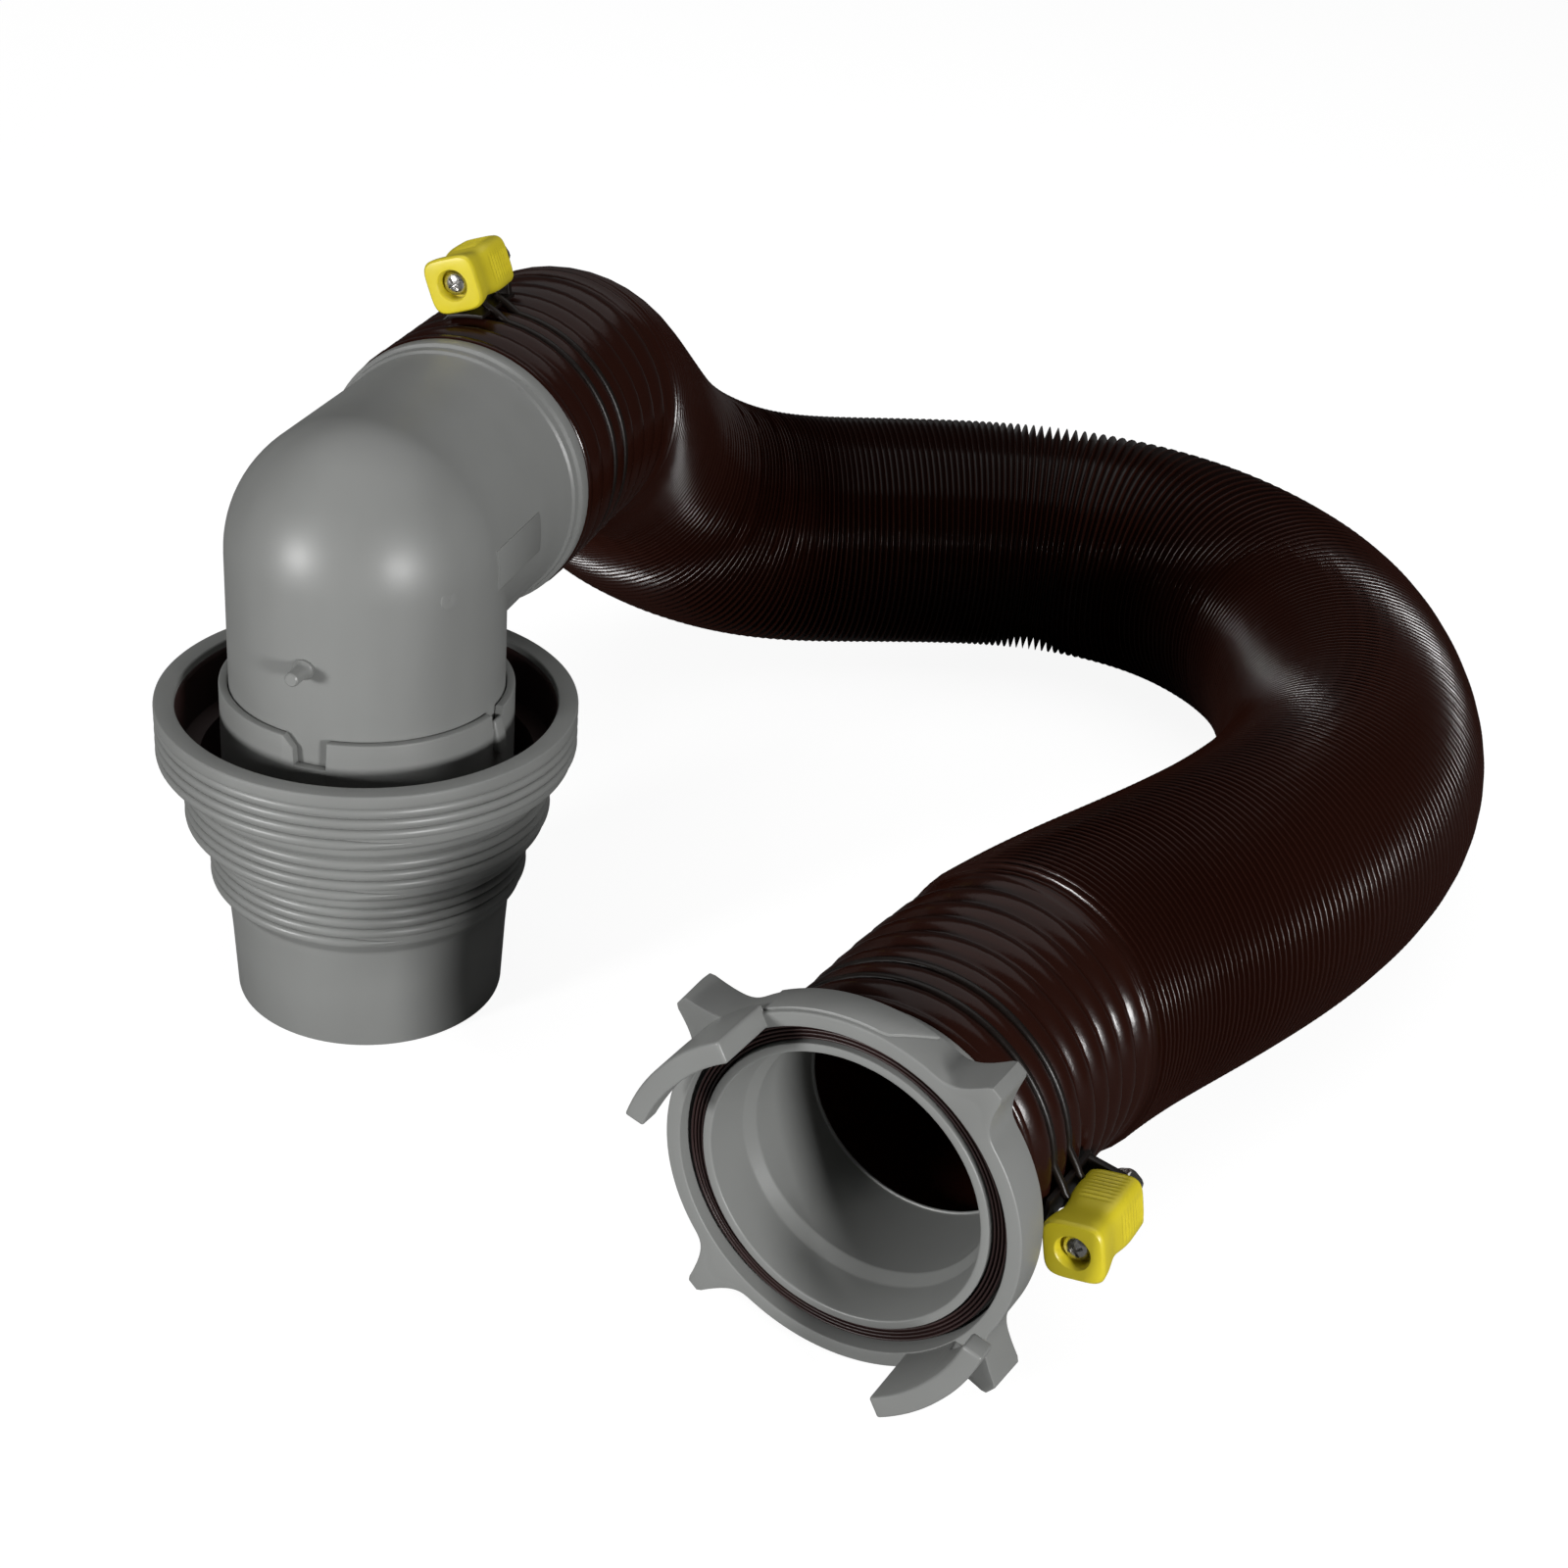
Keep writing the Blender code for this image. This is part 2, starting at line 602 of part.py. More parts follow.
hose_ends = {
    "elbow": (ADAPTER_AXIS + Vector((0.0, 0.0, ELBOW_OUTLET_HEIGHT)), outlet_direction),
    "bayonet": (BAYONET_CENTRE, -bayonet_forward),
}
for clamp, station, around, knob_twist in CLAMPS:
    origin, away = hose_ends[clamp]
    sideways = away.cross(Vector((0.0, 0.0, 1.0)))
    radial = sideways * cos(around) + Vector((0.0, 0.0, 1.0)) * sin(around)
    across = (-away).cross(radial)
    clamp_frame = add_frame(f"{clamp}_clamp_frame", axis_frame(origin + away * station, -away, across))
    make_clamp(clamp, clamp_frame, knob_twist)

for piece in parts.objects:
    if piece.type == "MESH":
        piece.data.shade_smooth()
        piece.data.set_sharp_from_angle(angle=radians(35.0))
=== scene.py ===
import bmesh
import bpy
import numpy as np
from math import atan2, cos, exp, pi, radians, sin, tau
from mathutils import Matrix, Vector


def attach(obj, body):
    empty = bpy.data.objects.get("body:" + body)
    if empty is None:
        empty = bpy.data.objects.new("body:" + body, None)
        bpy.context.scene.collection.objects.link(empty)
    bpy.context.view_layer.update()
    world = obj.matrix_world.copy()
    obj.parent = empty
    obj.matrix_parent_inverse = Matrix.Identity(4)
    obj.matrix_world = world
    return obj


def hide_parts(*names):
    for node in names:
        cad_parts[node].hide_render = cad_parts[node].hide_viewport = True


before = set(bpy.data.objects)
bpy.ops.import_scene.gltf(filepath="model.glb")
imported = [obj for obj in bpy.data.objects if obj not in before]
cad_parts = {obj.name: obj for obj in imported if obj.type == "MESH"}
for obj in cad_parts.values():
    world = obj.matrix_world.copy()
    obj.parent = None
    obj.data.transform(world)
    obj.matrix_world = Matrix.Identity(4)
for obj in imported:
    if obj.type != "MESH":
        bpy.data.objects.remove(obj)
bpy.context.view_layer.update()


# The studio: a floor that the camera sees white, a wide soft light overhead and a small one low on
# each side.
ADAPTER_FOOT = Vector((-0.0773, 0.0405, 0.0))
CAMERA_PLACE = ADAPTER_FOOT + Vector((0.1164, -0.6080, 0.4120))
CAMERA_PITCH = radians(29.05)
CAMERA_ROLL = radians(4.77)

camera = bpy.data.objects.new("camera", bpy.data.cameras.new("camera"))
camera.data.lens = 57.15
camera.data.sensor_width = 36.0
camera.data.clip_start = 0.02
ahead = Vector((0.0, cos(CAMERA_PITCH), -sin(CAMERA_PITCH)))
level = Vector((1.0, 0.0, 0.0))
above = level.cross(ahead)
camera_x = level * cos(CAMERA_ROLL) + above * sin(CAMERA_ROLL)
camera_y = above * cos(CAMERA_ROLL) - level * sin(CAMERA_ROLL)
camera_turn = Matrix((camera_x, camera_y, -ahead)).transposed().to_4x4()
camera.matrix_world = Matrix.Translation(CAMERA_PLACE) @ camera_turn
bpy.context.scene.collection.objects.link(camera)
bpy.context.scene.camera = camera

room = bpy.data.worlds.new("room")
room.use_nodes = True
room_light = room.node_tree.nodes["Background"]
room_light.inputs["Color"].default_value = (1.0, 1.0, 1.0, 1.0)
room_light.inputs["Strength"].default_value = 0.05
bpy.context.scene.world = room
bpy.context.scene.view_settings.view_transform = "Standard"


def soft_light(name, place, aim, size, power):
    lamp = bpy.data.lights.new(name, "AREA")
    lamp.shape = "RECTANGLE"
    lamp.size, lamp.size_y = size
    lamp.energy = power
    lamp_object = bpy.data.objects.new(name, lamp)
    turn = (Vector(place) - Vector(aim)).to_track_quat("Z", "Y").to_matrix().to_4x4()
    lamp_object.matrix_world = Matrix.Translation(place) @ turn
    bpy.context.scene.collection.objects.link(lamp_object)


heel = ADAPTER_FOOT + Vector((0.0, 0.0, 0.135))
soft_light("overhead_softbox", (0.0, 0.4, 1.80), (0.05, 0.05, 0.05), (2.4, 2.0), 14.0)
soft_light("left_softbox", heel + Vector((-1.05, -1.05, 0.22)), heel, (0.26, 0.26), 17.0)
soft_light("right_softbox", heel + Vector((0.92, -1.18, 0.20)), heel, (0.24, 0.24), 16.0)

FLOOR_REACH = 8.0
floor_corners = [(x * FLOOR_REACH, y * FLOOR_REACH, 0.0) for x, y in ((-1, -1), (1, -1), (1, 1), (-1, 1))]
floor_mesh = bpy.data.meshes.new("floor")
floor_mesh.from_pydata(floor_corners, [], [(0, 1, 2, 3)])
paper = bpy.data.materials.new("white_paper")
paper.use_nodes = True
paper_shader = paper.node_tree.nodes["Principled BSDF"]
paper_shader.inputs["Base Color"].default_value = (0.22, 0.22, 0.22, 1.0)
paper_shader.inputs["Roughness"].default_value = 0.8
paper_shader.inputs["Specular IOR Level"].default_value = 0.0
paper_shader.inputs["Emission Strength"].default_value = 0.92
seen = paper.node_tree.nodes.new("ShaderNodeLightPath")
paper.node_tree.links.new(seen.outputs["Is Camera Ray"], paper_shader.inputs["Emission Color"])
floor_mesh.materials.append(paper)
floor = bpy.data.objects.new("floor", floor_mesh)
bpy.context.scene.collection.objects.link(floor)


# The hose: extruded vinyl, corrugated in fine deep ribs over a spring wire, with a plainer cuff of
# coarse ribs at each end that grips a fitting. It runs from the elbow's collar to the bayonet socket.
OUTLET_HEIGHT = 0.1350
OUTLET_WAY = Vector((cos(radians(75.1)), sin(radians(75.1)), 0.0))
OUTLET_ROOT = ADAPTER_FOOT + Vector((0.0, 0.0, OUTLET_HEIGHT))
BAYONET_CENTRE = Vector((0.0594, -0.1060, 0.0481))
BAYONET_WAY = Vector((cos(radians(241.9)), sin(radians(241.9)), 0.0))
HOSE_MIDDLE = (
    (0.0401, 0.1832, 0.1047), (0.0573, 0.2231, 0.0680), (0.0959, 0.2475, 0.0450), (0.1383, 0.2575, 0.0430),
    (0.1771, 0.2642, 0.0428), (0.2177, 0.2635, 0.0428), (0.2613, 0.2425, 0.0428), (0.2935, 0.1930, 0.0428),
    (0.3004, 0.1301, 0.0428), (0.2907, 0.0760, 0.0428), (0.2659, 0.0319, 0.0430), (0.2343, -0.0056, 0.0438),
    (0.1997, -0.0410, 0.0449),
)
HOSE_RADIUS = 0.0420
HOSE_VALLEY = 0.0374
HOSE_BORE = 0.0352
HOSE_SIDES = 48
LINING_RINGS = 180
PATH_STEPS = 210
RIB_PLACES = (0.0, 0.09, 0.13, 0.19, 0.26, 0.33, 0.37, 0.42, 0.47, 0.55, 0.90)
RIB_PITCHES = (0.0026, 0.0028, 0.0038, 0.0034, 0.0023, 0.0024, 0.0032, 0.0040, 0.0032, 0.0024, 0.0024)
RIB_PHASES = (0.0, 0.41, 0.47, 0.53, 0.59)
CUFF_LENGTH = 0.0640
CUFF_CREST = 0.0404
CUFF_VALLEY = 0.0382
CUFF_PITCH = 0.0085
CUFF_PHASES = (0.00545, 0.00145)
CUFF_FADE = 0.008


class Signal:
    """A node socket that takes part in sums: an expression on signals adds its Math nodes."""

    def __init__(self, tree, socket=None):
        self.tree = tree
        self.socket = socket

    def node(self, kind, settings=None, values=None, out=0):
        """Adds a node, its settings first and then its sockets' values or links, and returns an output."""
        made = self.tree.nodes.new(kind)
        for name, value in (settings or {}).items():
            setattr(made, name, value)
        for key, value in (values or {}).items():
            if isinstance(value, Signal):
                self.tree.links.new(value.socket, made.inputs[key])
            else:
                made.inputs[key].default_value = value
        return Signal(self.tree, made.outputs[out] if made.outputs else None)

    def other(self, out):
        return Signal(self.tree, self.socket.node.outputs[out])

    def math(self, operation, first, second=0.0):
        return self.node("ShaderNodeMath", {"operation": operation}, {0: first, 1: second})

    def __add__(self, other):
        return self.math("ADD", self, other)

    def __radd__(self, other):
        return self.math("ADD", other, self)

    def __sub__(self, other):
        return self.math("SUBTRACT", self, other)

    def __rsub__(self, other):
        return self.math("SUBTRACT", other, self)

    def __mul__(self, other):
        return self.math("MULTIPLY", self, other)

    def __rmul__(self, other):
        return self.math("MULTIPLY", other, self)

    def __truediv__(self, other):
        return self.math("DIVIDE", self, other)

    def __abs__(self):
        return self.math("ABSOLUTE", self)

    def least(self, other):
        return self.math("MINIMUM", self, other)

    def most(self, other):
        return self.math("MAXIMUM", self, other)

    def between(self, low, high):
        """0 below low and 1 above high, straight between them."""
        return ((self - low) / (high - low)).most(0.0).least(1.0)


def new_finish(name, colour, roughness, metallic=0.0):
    """A Principled material, as a start for expressions, and a call that links one of its sockets."""
    material = bpy.data.materials.new(name)
    material.use_nodes = True
    shader = material.node_tree.nodes["Principled BSDF"]
    shader.inputs["Base Color"].default_value = (*colour, 1.0)
    shader.inputs["Roughness"].default_value = roughness
    shader.inputs["Metallic"].default_value = metallic

    def feed(socket, signal):
        material.node_tree.links.new(signal.socket, shader.inputs[socket])

    return material, Signal(material.node_tree), feed


def noise(start, scale, detail=2.0, stretch=(1.0, 1.0, 1.0)):
    """Noise on the object's own coordinates. The scale is in turns per metre."""
    place = start.node("ShaderNodeTexCoord", out="Object")
    drawn = start.node("ShaderNodeMapping", values={"Vector": place, "Scale": stretch})
    return start.node("ShaderNodeTexNoise", values={"Vector": drawn, "Scale": scale, "Detail": detail})


def shades(start, share, dark, light):
    return start.node(
        "ShaderNodeMix", {"data_type": "RGBA"}, {0: share, 6: (*dark, 1.0), 7: (*light, 1.0)}, out=2
    )


def relief(start, height, depth, strength=1.0):
    return start.node("ShaderNodeBump", values={"Height": height, "Distance": depth, "Strength": strength})


vinyl, start, feed = new_finish("brown_black_vinyl", (0.017, 0.0045, 0.0027), 0.22)
vinyl.node_tree.nodes["Principled BSDF"].inputs["Specular IOR Level"].default_value = 0.2
cloud = noise(start, 9.0, 3.0)
feed("Base Color", shades(start, cloud, (0.0140, 0.0036, 0.0020), (0.0210, 0.0060, 0.0038)))
feed("Roughness", 0.15 + noise(start, 60.0, 2.0) * 0.10)
feed("Normal", relief(start, noise(start, 900.0, 2.0), 0.00004, 0.5))


def line_through(points):
    """A call that gives places at distances along the line, and the line's length."""
    along = np.concatenate([[0.0], np.cumsum(np.linalg.norm(np.diff(points, axis=0), axis=1))])

    def place_at(stations):
        return np.stack([np.interp(stations, along, points[:, k]) for k in range(3)], axis=1)

    return place_at, along[-1]


def smooth_path(points, easing=0.018, step=0.001):
    """A Catmull-Rom curve near the points, its bends evened out and its ends kept in place."""
    nodes = np.array([2 * points[0] - points[1], *points, 2 * points[-1] - points[-2]], dtype=float)
    dense = []
    for a, b, c, d in zip(nodes, nodes[1:], nodes[2:], nodes[3:]):
        for t in np.linspace(0.0, 1.0, 200, endpoint=False):
            bend = (2 * a - 5 * b + 4 * c - d) * t * t + (3 * b - a - 3 * c + d) * t ** 3
            dense.append(0.5 * (2 * b + (c - a) * t + bend))
    dense.append(nodes[-2])
    place_at, length = line_through(np.array(dense))
    dense = place_at(np.linspace(0.0, length, int(round(length / step)) + 1))
    reach = int(round(4 * easing / step))
    weights = np.exp(-0.5 * (np.arange(-reach, reach + 1) * step / easing) ** 2)
    before = 2 * dense[0] - dense[reach:0:-1]
    after = 2 * dense[-1] - dense[-2:-reach - 2:-1]
    padded = np.concatenate([before, dense, after])
    eased = [np.convolve(padded[:, k], weights / weights.sum(), "valid") for k in range(3)]
    return line_through(np.stack(eased, axis=1))


def new_tree(name, sizes):
    """A Geometry Nodes tree with named number inputs, a geometry input and a material input."""
    tree = bpy.data.node_groups.new(name, "GeometryNodeTree")
    tree.interface.new_socket("Geometry", in_out="INPUT", socket_type="NodeSocketGeometry")
    tree.interface.new_socket("Geometry", in_out="OUTPUT", socket_type="NodeSocketGeometry")
    for size in sizes:
        tree.interface.new_socket(size, in_out="INPUT", socket_type="NodeSocketFloat")
    tree.interface.new_socket("Finish", in_out="INPUT", socket_type="NodeSocketMaterial")
    entry = Signal(tree).node("NodeGroupInput")
    return tree, entry


def close_tree(tree, entry, geometry):
    """Ends a tree in smooth shading, Realize Instances and Set Material."""
    smooth = entry.node("GeometryNodeSetShadeSmooth", values={"Geometry": geometry})
    real = entry.node("GeometryNodeRealizeInstances", values={"Geometry": smooth})
    painted = entry.node(
        "GeometryNodeSetMaterial", values={"Geometry": real, "Material": entry.other("Finish")}
    )
    entry.node("NodeGroupOutput", values={"Geometry": painted})


def grow(name, data, tree, sizes, finish):
    """A plain mesh object that the tree makes from the data, with its inputs set by identifier."""
    seed = bpy.data.objects.new(name + "_seed", data)
    bpy.context.scene.collection.objects.link(seed)
    modifier = seed.modifiers.new("grown", "NODES")
    modifier.node_group = tree
    for item in tree.interface.items_tree:
        if item.in_out == "INPUT" and item.name in sizes:
            modifier[item.identifier] = float(sizes[item.name])
        if item.in_out == "INPUT" and item.name == "Finish":
            modifier[item.identifier] = finish
    graph = bpy.context.evaluated_depsgraph_get()
    mesh = bpy.data.meshes.new_from_object(seed.evaluated_get(graph), depsgraph=graph)
    seed.modifiers.clear()
    bpy.data.objects.remove(seed)
    mesh.name = name
    if not mesh.materials:
        mesh.materials.append(finish)
    piece = bpy.data.objects.new(name, mesh)
    bpy.context.scene.collection.objects.link(piece)
    return piece


def line_data(name, points):
    curve = bpy.data.curves.new(name, "CURVE")
    curve.dimensions = "3D"
    spline = curve.splines.new("POLY")
    spline.points.add(len(points) - 1)
    for point, place in zip(spline.points, points):
        point.co = (*place, 1.0)
    return curve


# Each fine rib takes five points of the line: one in its valley and four over its rounded crest.
ribbed_tube, entry = new_tree(
    "ribbed tube", ("Length", "Crest", "Valley", "Cuff Length", "Cuff Crest", "Cuff Valley", "Bore", "Sides")
)
index = entry.node("GeometryNodeInputIndex")
station = entry.node("GeometryNodeSplineParameter", out="Length")
to_end = entry.other("Length") - station
from_end = station.least(to_end)
section = entry.math("MODULO", index, len(RIB_PHASES))
ridge = ((2.5 - abs(section - 2.5)) * 0.90).least(1.0)
ribs = entry.other("Valley") + ridge * (entry.other("Crest") - entry.other("Valley"))
near_start = to_end.math("GREATER_THAN", to_end, station)
shift = CUFF_PHASES[1] + near_start * (CUFF_PHASES[0] - CUFF_PHASES[1])
wave = abs(entry.math("SINE", (from_end - shift) * (pi / CUFF_PITCH)))
cuff = entry.other("Cuff Valley") + wave * (entry.other("Cuff Crest") - entry.other("Cuff Valley"))
past_cuff = (from_end - entry.other("Cuff Length")).between(0.0, CUFF_FADE)
rib_radius = cuff + past_cuff * (ribs - cuff)
circle = entry.node(
    "GeometryNodeCurvePrimitiveCircle", values={"Resolution": entry.other("Sides"), "Radius": 1.0}
)
outside = entry.node(
    "GeometryNodeCurveToMesh",
    values={"Curve": entry.other("Geometry"), "Profile Curve": circle, "Scale": rib_radius},
)
lining = entry.node(
    "GeometryNodeResampleCurve", values={"Curve": entry.other("Geometry"), "Count": LINING_RINGS}
)
inside = entry.node(
    "GeometryNodeCurveToMesh", values={"Curve": lining, "Profile Curve": circle, "Scale": entry.other("Bore")}
)
turned_in = entry.node("GeometryNodeFlipFaces", values={"Mesh": inside})
joined = entry.node("GeometryNodeJoinGeometry", values={"Geometry": outside})
ribbed_tube.links.new(turned_in.socket, joined.socket.node.inputs["Geometry"])
close_tree(ribbed_tube, entry, joined)

hose_start = [OUTLET_ROOT + OUTLET_WAY * reach for reach in (0.0613, 0.085, 0.108, 0.131)]
hose_finish = [BAYONET_CENTRE - BAYONET_WAY * reach for reach in (0.080, 0.058, 0.040, 0.0248)]
hose_points = hose_start + [ADAPTER_FOOT + Vector(point) for point in HOSE_MIDDLE] + hose_finish
along_hose, hose_length = smooth_path([np.array(point) for point in hose_points])
hose_line = along_hose(np.linspace(0.0, hose_length, PATH_STEPS + 1))

# A count of ribs runs along the hose, faster where their pitch is small. Each whole number is a rib.
steps = np.linspace(0.0, hose_length, 2000)
pitches = np.interp(steps, RIB_PLACES, RIB_PITCHES)
counts = np.concatenate([[0.0], np.cumsum(np.diff(steps) / pitches[1:])])
rib_count = int(counts[-1])
numbers = np.arange(rib_count)[:, None]
places = np.interp(numbers * counts[-1] / rib_count, counts, steps)
in_cuff = np.minimum(places, hose_length - places) < CUFF_LENGTH
even_phases = np.arange(len(RIB_PHASES)) / len(RIB_PHASES)
wanted = (numbers + np.where(in_cuff, even_phases, RIB_PHASES)).ravel() * counts[-1] / rib_count
stations = np.append(np.interp(wanted, counts, steps), hose_length)
hose = grow(
    "ribbed_hose", line_data("hose_line", along_hose(stations)), ribbed_tube,
    {"Length": hose_length, "Crest": HOSE_RADIUS, "Valley": HOSE_VALLEY, "Cuff Length": CUFF_LENGTH,
     "Cuff Crest": CUFF_CREST, "Cuff Valley": CUFF_VALLEY, "Bore": HOSE_BORE, "Sides": HOSE_SIDES},
    vinyl,
)
bm = bmesh.new()
bm.from_mesh(hose.data)
for end in (hose_points[0], hose_points[-1]):
    rims = [e for e in bm.edges if e.is_boundary and (e.verts[0].co - end).length < 2 * HOSE_RADIUS]
    bmesh.ops.bridge_loops(bm, edges=rims)
bmesh.ops.recalc_face_normals(bm, faces=bm.faces)
bm.to_mesh(hose.data)
bm.free()
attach(hose, "fixed_kit")
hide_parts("hose")


# The adapter: one grey moulding that steps down through three pipe threads of 4, 3.5 and 3 inch to a
# plain spigot. Its bowl's seal is dark rubber, and the same dark rubber laid thin up its stepped inner walls
# is painted shade. It turns on the elbow's foot.
ADAPTER_TOP = 0.0917
# Each thread: its radius, the height of its foot, its turns, and the radius and height of the step below.
THREADS = (
    (0.0579, 0.0767, 3.35, 0.0520, 0.0727), (0.0508, 0.0568, 3.65, 0.0462, 0.0532),
    (0.04445, 0.0378, 3.45, 0.0397, 0.0325),
)
THREAD_PITCH = 0.0032
THREAD_DEPTH = 0.0012
THREAD_ENDS = radians(-68.0)
EDGE = 0.0005
SHARP_ANGLE = radians(32.0)

grey, start, feed = new_finish("grey_moulded_plastic", (0.222, 0.227, 0.222), 0.33)
cloud = noise(start, 22.0, 4.0)
flow = noise(start, 70.0, 2.0, (1.0, 1.0, 0.25))
tone = cloud * 0.65 + flow * 0.35
feed("Base Color", shades(start, tone, (0.188, 0.190, 0.184), (0.250, 0.256, 0.249)))
feed("Roughness", 0.33 + flow * 0.14)
grain = noise(start, 2600.0, 2.0) * 0.7 + noise(start, 420.0, 2.0) * 0.3
feed("Normal", relief(start, grain, 0.00006, 0.35))

rubber, start, feed = new_finish("dark_brown_rubber", (0.022, 0.008, 0.008), 0.42)
bloom = noise(start, 55.0, 3.0)
feed("Base Color", shades(start, bloom, (0.016, 0.006, 0.005), (0.031, 0.013, 0.012)))
feed("Roughness", 0.34 + bloom * 0.2)
feed("Normal", relief(start, noise(start, 1500.0, 2.0), 0.00005, 0.4))


def axis_frame(origin, forward, upward=Vector((0.0, 0.0, 1.0))):
    """A frame with Z along forward and Y as near to upward as it can be."""
    x_axis = upward.cross(forward).normalized()
    rotation = Matrix((x_axis, forward.cross(x_axis), forward)).transposed().to_4x4()
    return Matrix.Translation(origin) @ rotation


def eased(outline, radius=EDGE, steps=3):
    """The closed outline of (radius, height) points with each corner rounded."""
    points = [np.array(corner) for corner in outline]
    softened = []
    for before, here, after in zip(points[-1:] + points[:-1], points, points[1:] + points[:1]):
        back, onward = before - here, after - here
        cut = min(radius, 0.45 * np.linalg.norm(back), 0.45 * np.linalg.norm(onward))
        first = here + back / np.linalg.norm(back) * cut
        last = here + onward / np.linalg.norm(onward) * cut
        for t in np.linspace(0.0, 1.0, steps + 1):
            softened.append(tuple((1 - t) ** 2 * first + 2 * t * (1 - t) * here + t * t * last))
    return softened


def round_mesh(name, place, section_at, angles=120, closed=True):
    """Sections of (radius, height) points round the place's Z. A section that isn't closed ends on Z."""
    if isinstance(angles, int):
        angles = [tau * k / angles for k in range(angles)]
    bm = bmesh.new()
    columns = []
    for angle in angles:
        section = section_at(angle)
        columns.append([bm.verts.new((r * cos(angle), r * sin(angle), z)) for r, z in section])
    rows = len(columns[0])
    for column, following in zip(columns, columns[1:] + columns[:1]):
        for k in range(rows if closed else rows - 1):
            j = (k + 1) % rows
            bm.faces.new((column[k], column[j], following[j], following[k]))
    return close_mesh(bm, name, place)


def close_mesh(bm, name, place):
    bmesh.ops.remove_doubles(bm, verts=bm.verts, dist=0.000002)
    bmesh.ops.recalc_face_normals(bm, faces=bm.faces)
    bmesh.ops.transform(bm, matrix=place, verts=bm.verts)
    mesh = bpy.data.meshes.new(name)
    bm.to_mesh(mesh)
    bm.free()
    mesh.shade_smooth()
    mesh.set_sharp_from_angle(angle=SHARP_ANGLE)
    return mesh


def turned(name, place, outline, angles=120, radius=EDGE):
    """A ring with one eased section all the way round."""
    section = eased(outline, radius)
    return round_mesh(name, place, lambda angle: section, angles)


def mount(name, mesh, finish, slot, body, *nodes):
    """Paints one piece, sets it on its body and hides the CAD nodes it stands for."""
    mesh.materials.clear()
    mesh.materials.append(finish)
    piece = bpy.data.objects.new(name, mesh)
    bpy.context.scene.collection.objects.link(piece)
    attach(piece, body)
    if nodes:
        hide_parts(*nodes)


adapter_place = Matrix.Translation(ADAPTER_FOOT)
shell_outline = [(0.0523, ADAPTER_TOP), (0.0579, ADAPTER_TOP), (0.0579, 0.0882)]
for radius, foot, turns, step_radius, step_height in THREADS:
    root = radius - THREAD_DEPTH
    shell_outline += [
        (root, foot + turns * THREAD_PITCH - 0.0004), (root, foot - 0.0012),
        (step_radius, step_height), (step_radius, step_height - 0.0022),
    ]
shell_outline += [
    (0.0389, 0.0200), (0.0378, 0.0), (0.0348, 0.0), (0.0348, 0.0440), (0.0407, 0.0440), (0.0407, 0.0580),
    (0.0466, 0.0580), (0.0466, 0.0740), (0.0523, 0.0740),
]
mount(
    "adapter_moulding", turned("adapter_moulding", adapter_place, shell_outline, 160, 0.0008),
    grey, "grey_plastic", "adapter", "adapter_shell",
)

screw_thread, entry = new_tree("screw thread", (
    "Turns", "Radius", "Pitch", "Foot", "Start Angle", "Ridge Height", "Ridge Width", "Points Per Turn",
    "Taper",
))
turns = entry.other("Turns")
helix = entry.node("GeometryNodeCurveSpiral", values={
    "Resolution": entry.other("Points Per Turn"), "Rotations": turns, "Start Radius": entry.other("Radius"),
    "End Radius": entry.other("Radius"), "Height": turns * entry.other("Pitch"),
})
raise_by = entry.node("ShaderNodeCombineXYZ", values={"Z": entry.other("Foot")})
turn_by = entry.node("ShaderNodeCombineXYZ", values={"Z": entry.other("Start Angle")})
placed = entry.node(
    "GeometryNodeTransform", values={"Geometry": helix, "Translation": raise_by, "Rotation": turn_by}
)
upright = entry.node("GeometryNodeSetCurveNormal", {"mode": "Z_UP"}, {"Curve": placed})
along = entry.node("GeometryNodeSplineParameter", out="Factor") * turns
near = along.least(turns - along)
taper = 0.08 + (near / entry.other("Taper")).least(1.0) * 0.92
bead = entry.node("GeometryNodeCurvePrimitiveCircle", values={"Resolution": 14, "Radius": 0.5})
stretch = entry.node(
    "ShaderNodeCombineXYZ",
    values={"X": entry.other("Ridge Height") * 2.0, "Y": entry.other("Ridge Width"), "Z": 1.0},
)
ridge_line = entry.node("GeometryNodeTransform", values={"Geometry": bead, "Scale": stretch})
wound = entry.node("GeometryNodeCurveToMesh", values={
    "Curve": upright, "Profile Curve": ridge_line, "Scale": taper, "Fill Caps": True,
})
close_tree(screw_thread, entry, wound)


def wind_thread(name, place, body, finish, sizes):
    """A thread's ridge as one mesh, its centre sunk to the root of the thread."""
    piece = grow(name, bpy.data.meshes.new(name + "_seed"), screw_thread, sizes, finish)
    piece.data.transform(place)
    bm = bmesh.new()
    bm.from_mesh(piece.data)
    bmesh.ops.recalc_face_normals(bm, faces=bm.faces)
    bm.to_mesh(piece.data)
    bm.free()
    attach(piece, body)


for number, (radius, foot, turns, *below) in enumerate(THREADS):
    wind_thread(
        f"adapter_thread_{number}", adapter_place, "adapter", grey,
        {"Turns": turns, "Radius": radius - THREAD_DEPTH, "Pitch": THREAD_PITCH, "Foot": foot,
         "Start Angle": THREAD_ENDS, "Ridge Height": THREAD_DEPTH, "Ridge Width": 0.0030,
         "Points Per Turn": 120, "Taper": 0.05},
    )

# A thin dark rubber sheet over the bowl's steps: its floor ring stands for the bowl's seal, and its part up
# the stepped inner walls is painted shade.
seal_and_shade_liner = [
    (0.0521, 0.0896), (0.0525, 0.0896), (0.0525, 0.0736), (0.0468, 0.0736), (0.0468, 0.0606),
    (0.0409, 0.0606), (0.0409, 0.0612), (0.0461, 0.0612), (0.0461, 0.0745), (0.0517, 0.0745),
    (0.0517, 0.0885),
]
mount(
    "adapter_bowl_seal_and_shade_liner", turned("adapter_bowl_seal_and_shade_liner", adapter_place, seal_and_shade_liner, 120, 0.0002),
    rubber, "brown_rubber", "adapter", "adapter_bowl_seal",
)


